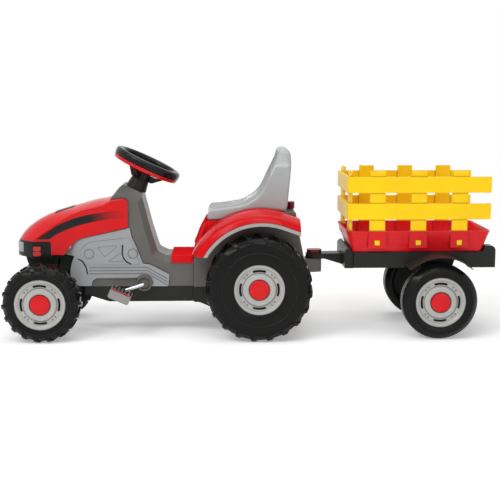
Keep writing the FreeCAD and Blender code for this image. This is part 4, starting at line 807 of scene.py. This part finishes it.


# %% [markdown]
# Each wheel gets its fine marks: a raised ring on the tyre's side, pairs of moulded dots on the silver disc,
# a dark ring of painted shade in the groove round the raised hub, a black ring of painted shade behind the
# slots and a black back. The rings are small sections that turn round the axle. All of the marks turn with
# their wheel.

# %% Wheel marks
def turned(name, section, x, z, turns=96):
    """Closed section of (radius, y) points turned round the axle at (x, z): (x + r cos t, y, z + r sin t)."""
    radius, across = np.asarray(section, float).T
    t = np.linspace(0, 2 * np.pi, turns, endpoint=False)[:, None]
    points = np.stack([x + radius * np.cos(t), np.broadcast_to(across, (turns, len(radius))),
                       z + radius * np.sin(t)], axis=-1)
    return settle(mesh_from(name, points.reshape(-1, 3) * MM, grid_faces(turns, len(radius), True, True)))


def band(inner, outer, near, far):
    """Section of a flat ring: the four corners between two radii and two places across the wheel."""
    return [(inner, near), (inner, far), (outer, far), (outer, near)]


wheel_sizes = {"front": {"x": -630.0, "z": 117.0, "y": 159.0, "width": 88.0, "ring": 92.0},
               "rear": {"x": 19.0, "z": 160.0, "y": 160.0, "width": 104.0, "ring": 111.0},
               "trailer": {"x": 565.0, "z": 114.0, "y": 154.0, "width": 72.0, "ring": 97.0}}
disc_depth, disc_thickness, back_depth = 9.0, 4.0, 8.0
hub_groove_shade_radii, shade_radii, back_radii = (49.4, 51.2), (51.0, 63.0), (17.0, 75.5)
dot_circle, dot_radius = 58.0, 2.2
ring_radii, ring_heights = np.array([-1.6, -1.0, 0.0, 1.0, 1.6]), np.array([-0.6, 0.5, 0.9, 0.5, -0.6])
dot_turn = np.radians(np.array([45.0, 135.0, 225.0, 315.0])[:, None] + np.array([-6.0, 6.0])[None]).ravel()
for axle, size in wheel_sizes.items():
    x, z, half = size["x"], size["z"], size["width"] / 2
    for side, sign in sides.items():
        body = body_of[f"{axle}_rim_{side}"]
        wall = sign * (size["y"] + half)
        face = sign * (size["y"] + half - disc_depth)
        shade = face - sign * (disc_thickness + 0.3)
        back = sign * (size["y"] - half + back_depth)
        bump = np.stack([size["ring"] + ring_radii, wall + sign * ring_heights], axis=1)
        # Painted shade: a dark ring stands for the shadow in the groove round the raised hub.
        seam = band(*hub_groove_shade_radii, face - sign * 0.4, face + sign * 0.5)
        dots = np.stack([x + dot_circle * np.cos(dot_turn), np.full(len(dot_turn), face),
                         z + dot_circle * np.sin(dot_turn)], axis=1)
        # Painted shade: a black ring behind the disc darkens what is seen through the slots.
        shade_ring = band(*shade_radii, shade, shade - sign * 0.8)
        back_ring = band(*back_radii, back + sign * 0.3, back - sign * 0.5)
        dot_shape = (circle(dot_radius), -0.4, 0.9, dots, side_axes(sign))
        marks = {"ring": ("tyre", "tyre_plastic", turned, (bump, x, z)),
                 "seam": ("dark_grey", "dark_grey_plastic", turned, (seam, x, z)),
                 "dots": ("dark_grey", "dark_grey_plastic", plates, dot_shape),
                 "shade": ("slot", "black_plastic", turned, (shade_ring, x, z)),
                 "back": ("black", "black_plastic", turned, (back_ring, x, z))}
        for mark, (look, slot, make, shape) in marks.items():
            name = f"{axle}_{mark}_{side}"
            add_piece(name, make(name, *shape), body, finishes[look])
print("wheels with marks", len(wheel_sizes) * len(sides))

# %% [markdown]
# A pedal has a red strip along its outer edge and rows of rubber studs behind it. They lie on the pedal's own
# top, which leans, so their places are worked out in the pedal's own directions.

# %% Pedal treads
pedal_lean = math.radians(24.0)
pedal_axes = np.array([[math.cos(pedal_lean), 0, -math.sin(pedal_lean)], [0, 1, 0],
                       [math.sin(pedal_lean), 0, math.cos(pedal_lean)]])
pedal_places = {"left": (-396.61, 138.37), "right": (-263.47, 181.63)}
tread_height, strip_y = 12.5, 190.0
stud_columns, stud_rows = np.linspace(-27.5, 27.5, 6), np.array([136.0, 154.0, 172.0])
for side, (x, z) in pedal_places.items():
    sign = sides[side]
    body = body_of[f"pedal_{side}"]
    tread = np.array([x, 0.0, z]) + tread_height * pedal_axes[2]
    strip_place = tread + [[0.0, sign * strip_y, 0.0]]
    strip = plates(f"pedal_strip_{side}", soft_box(60, 10, 8.0), -0.5, 1.6, strip_place, pedal_axes)
    add_piece(f"pedal_strip_{side}", strip, body, finishes["red"])
    a, b = np.meshgrid(stud_columns, sign * stud_rows)
    stud_places = tread + a.reshape(-1, 1) * pedal_axes[0] + b.reshape(-1, 1) * pedal_axes[1]
    studs = plates(f"pedal_studs_{side}", circle(2.6), -0.5, 3.0, stud_places, pedal_axes)
    add_piece(f"pedal_studs_{side}", studs, body, finishes["slot"])
print("pedal treads", len(pedal_places))
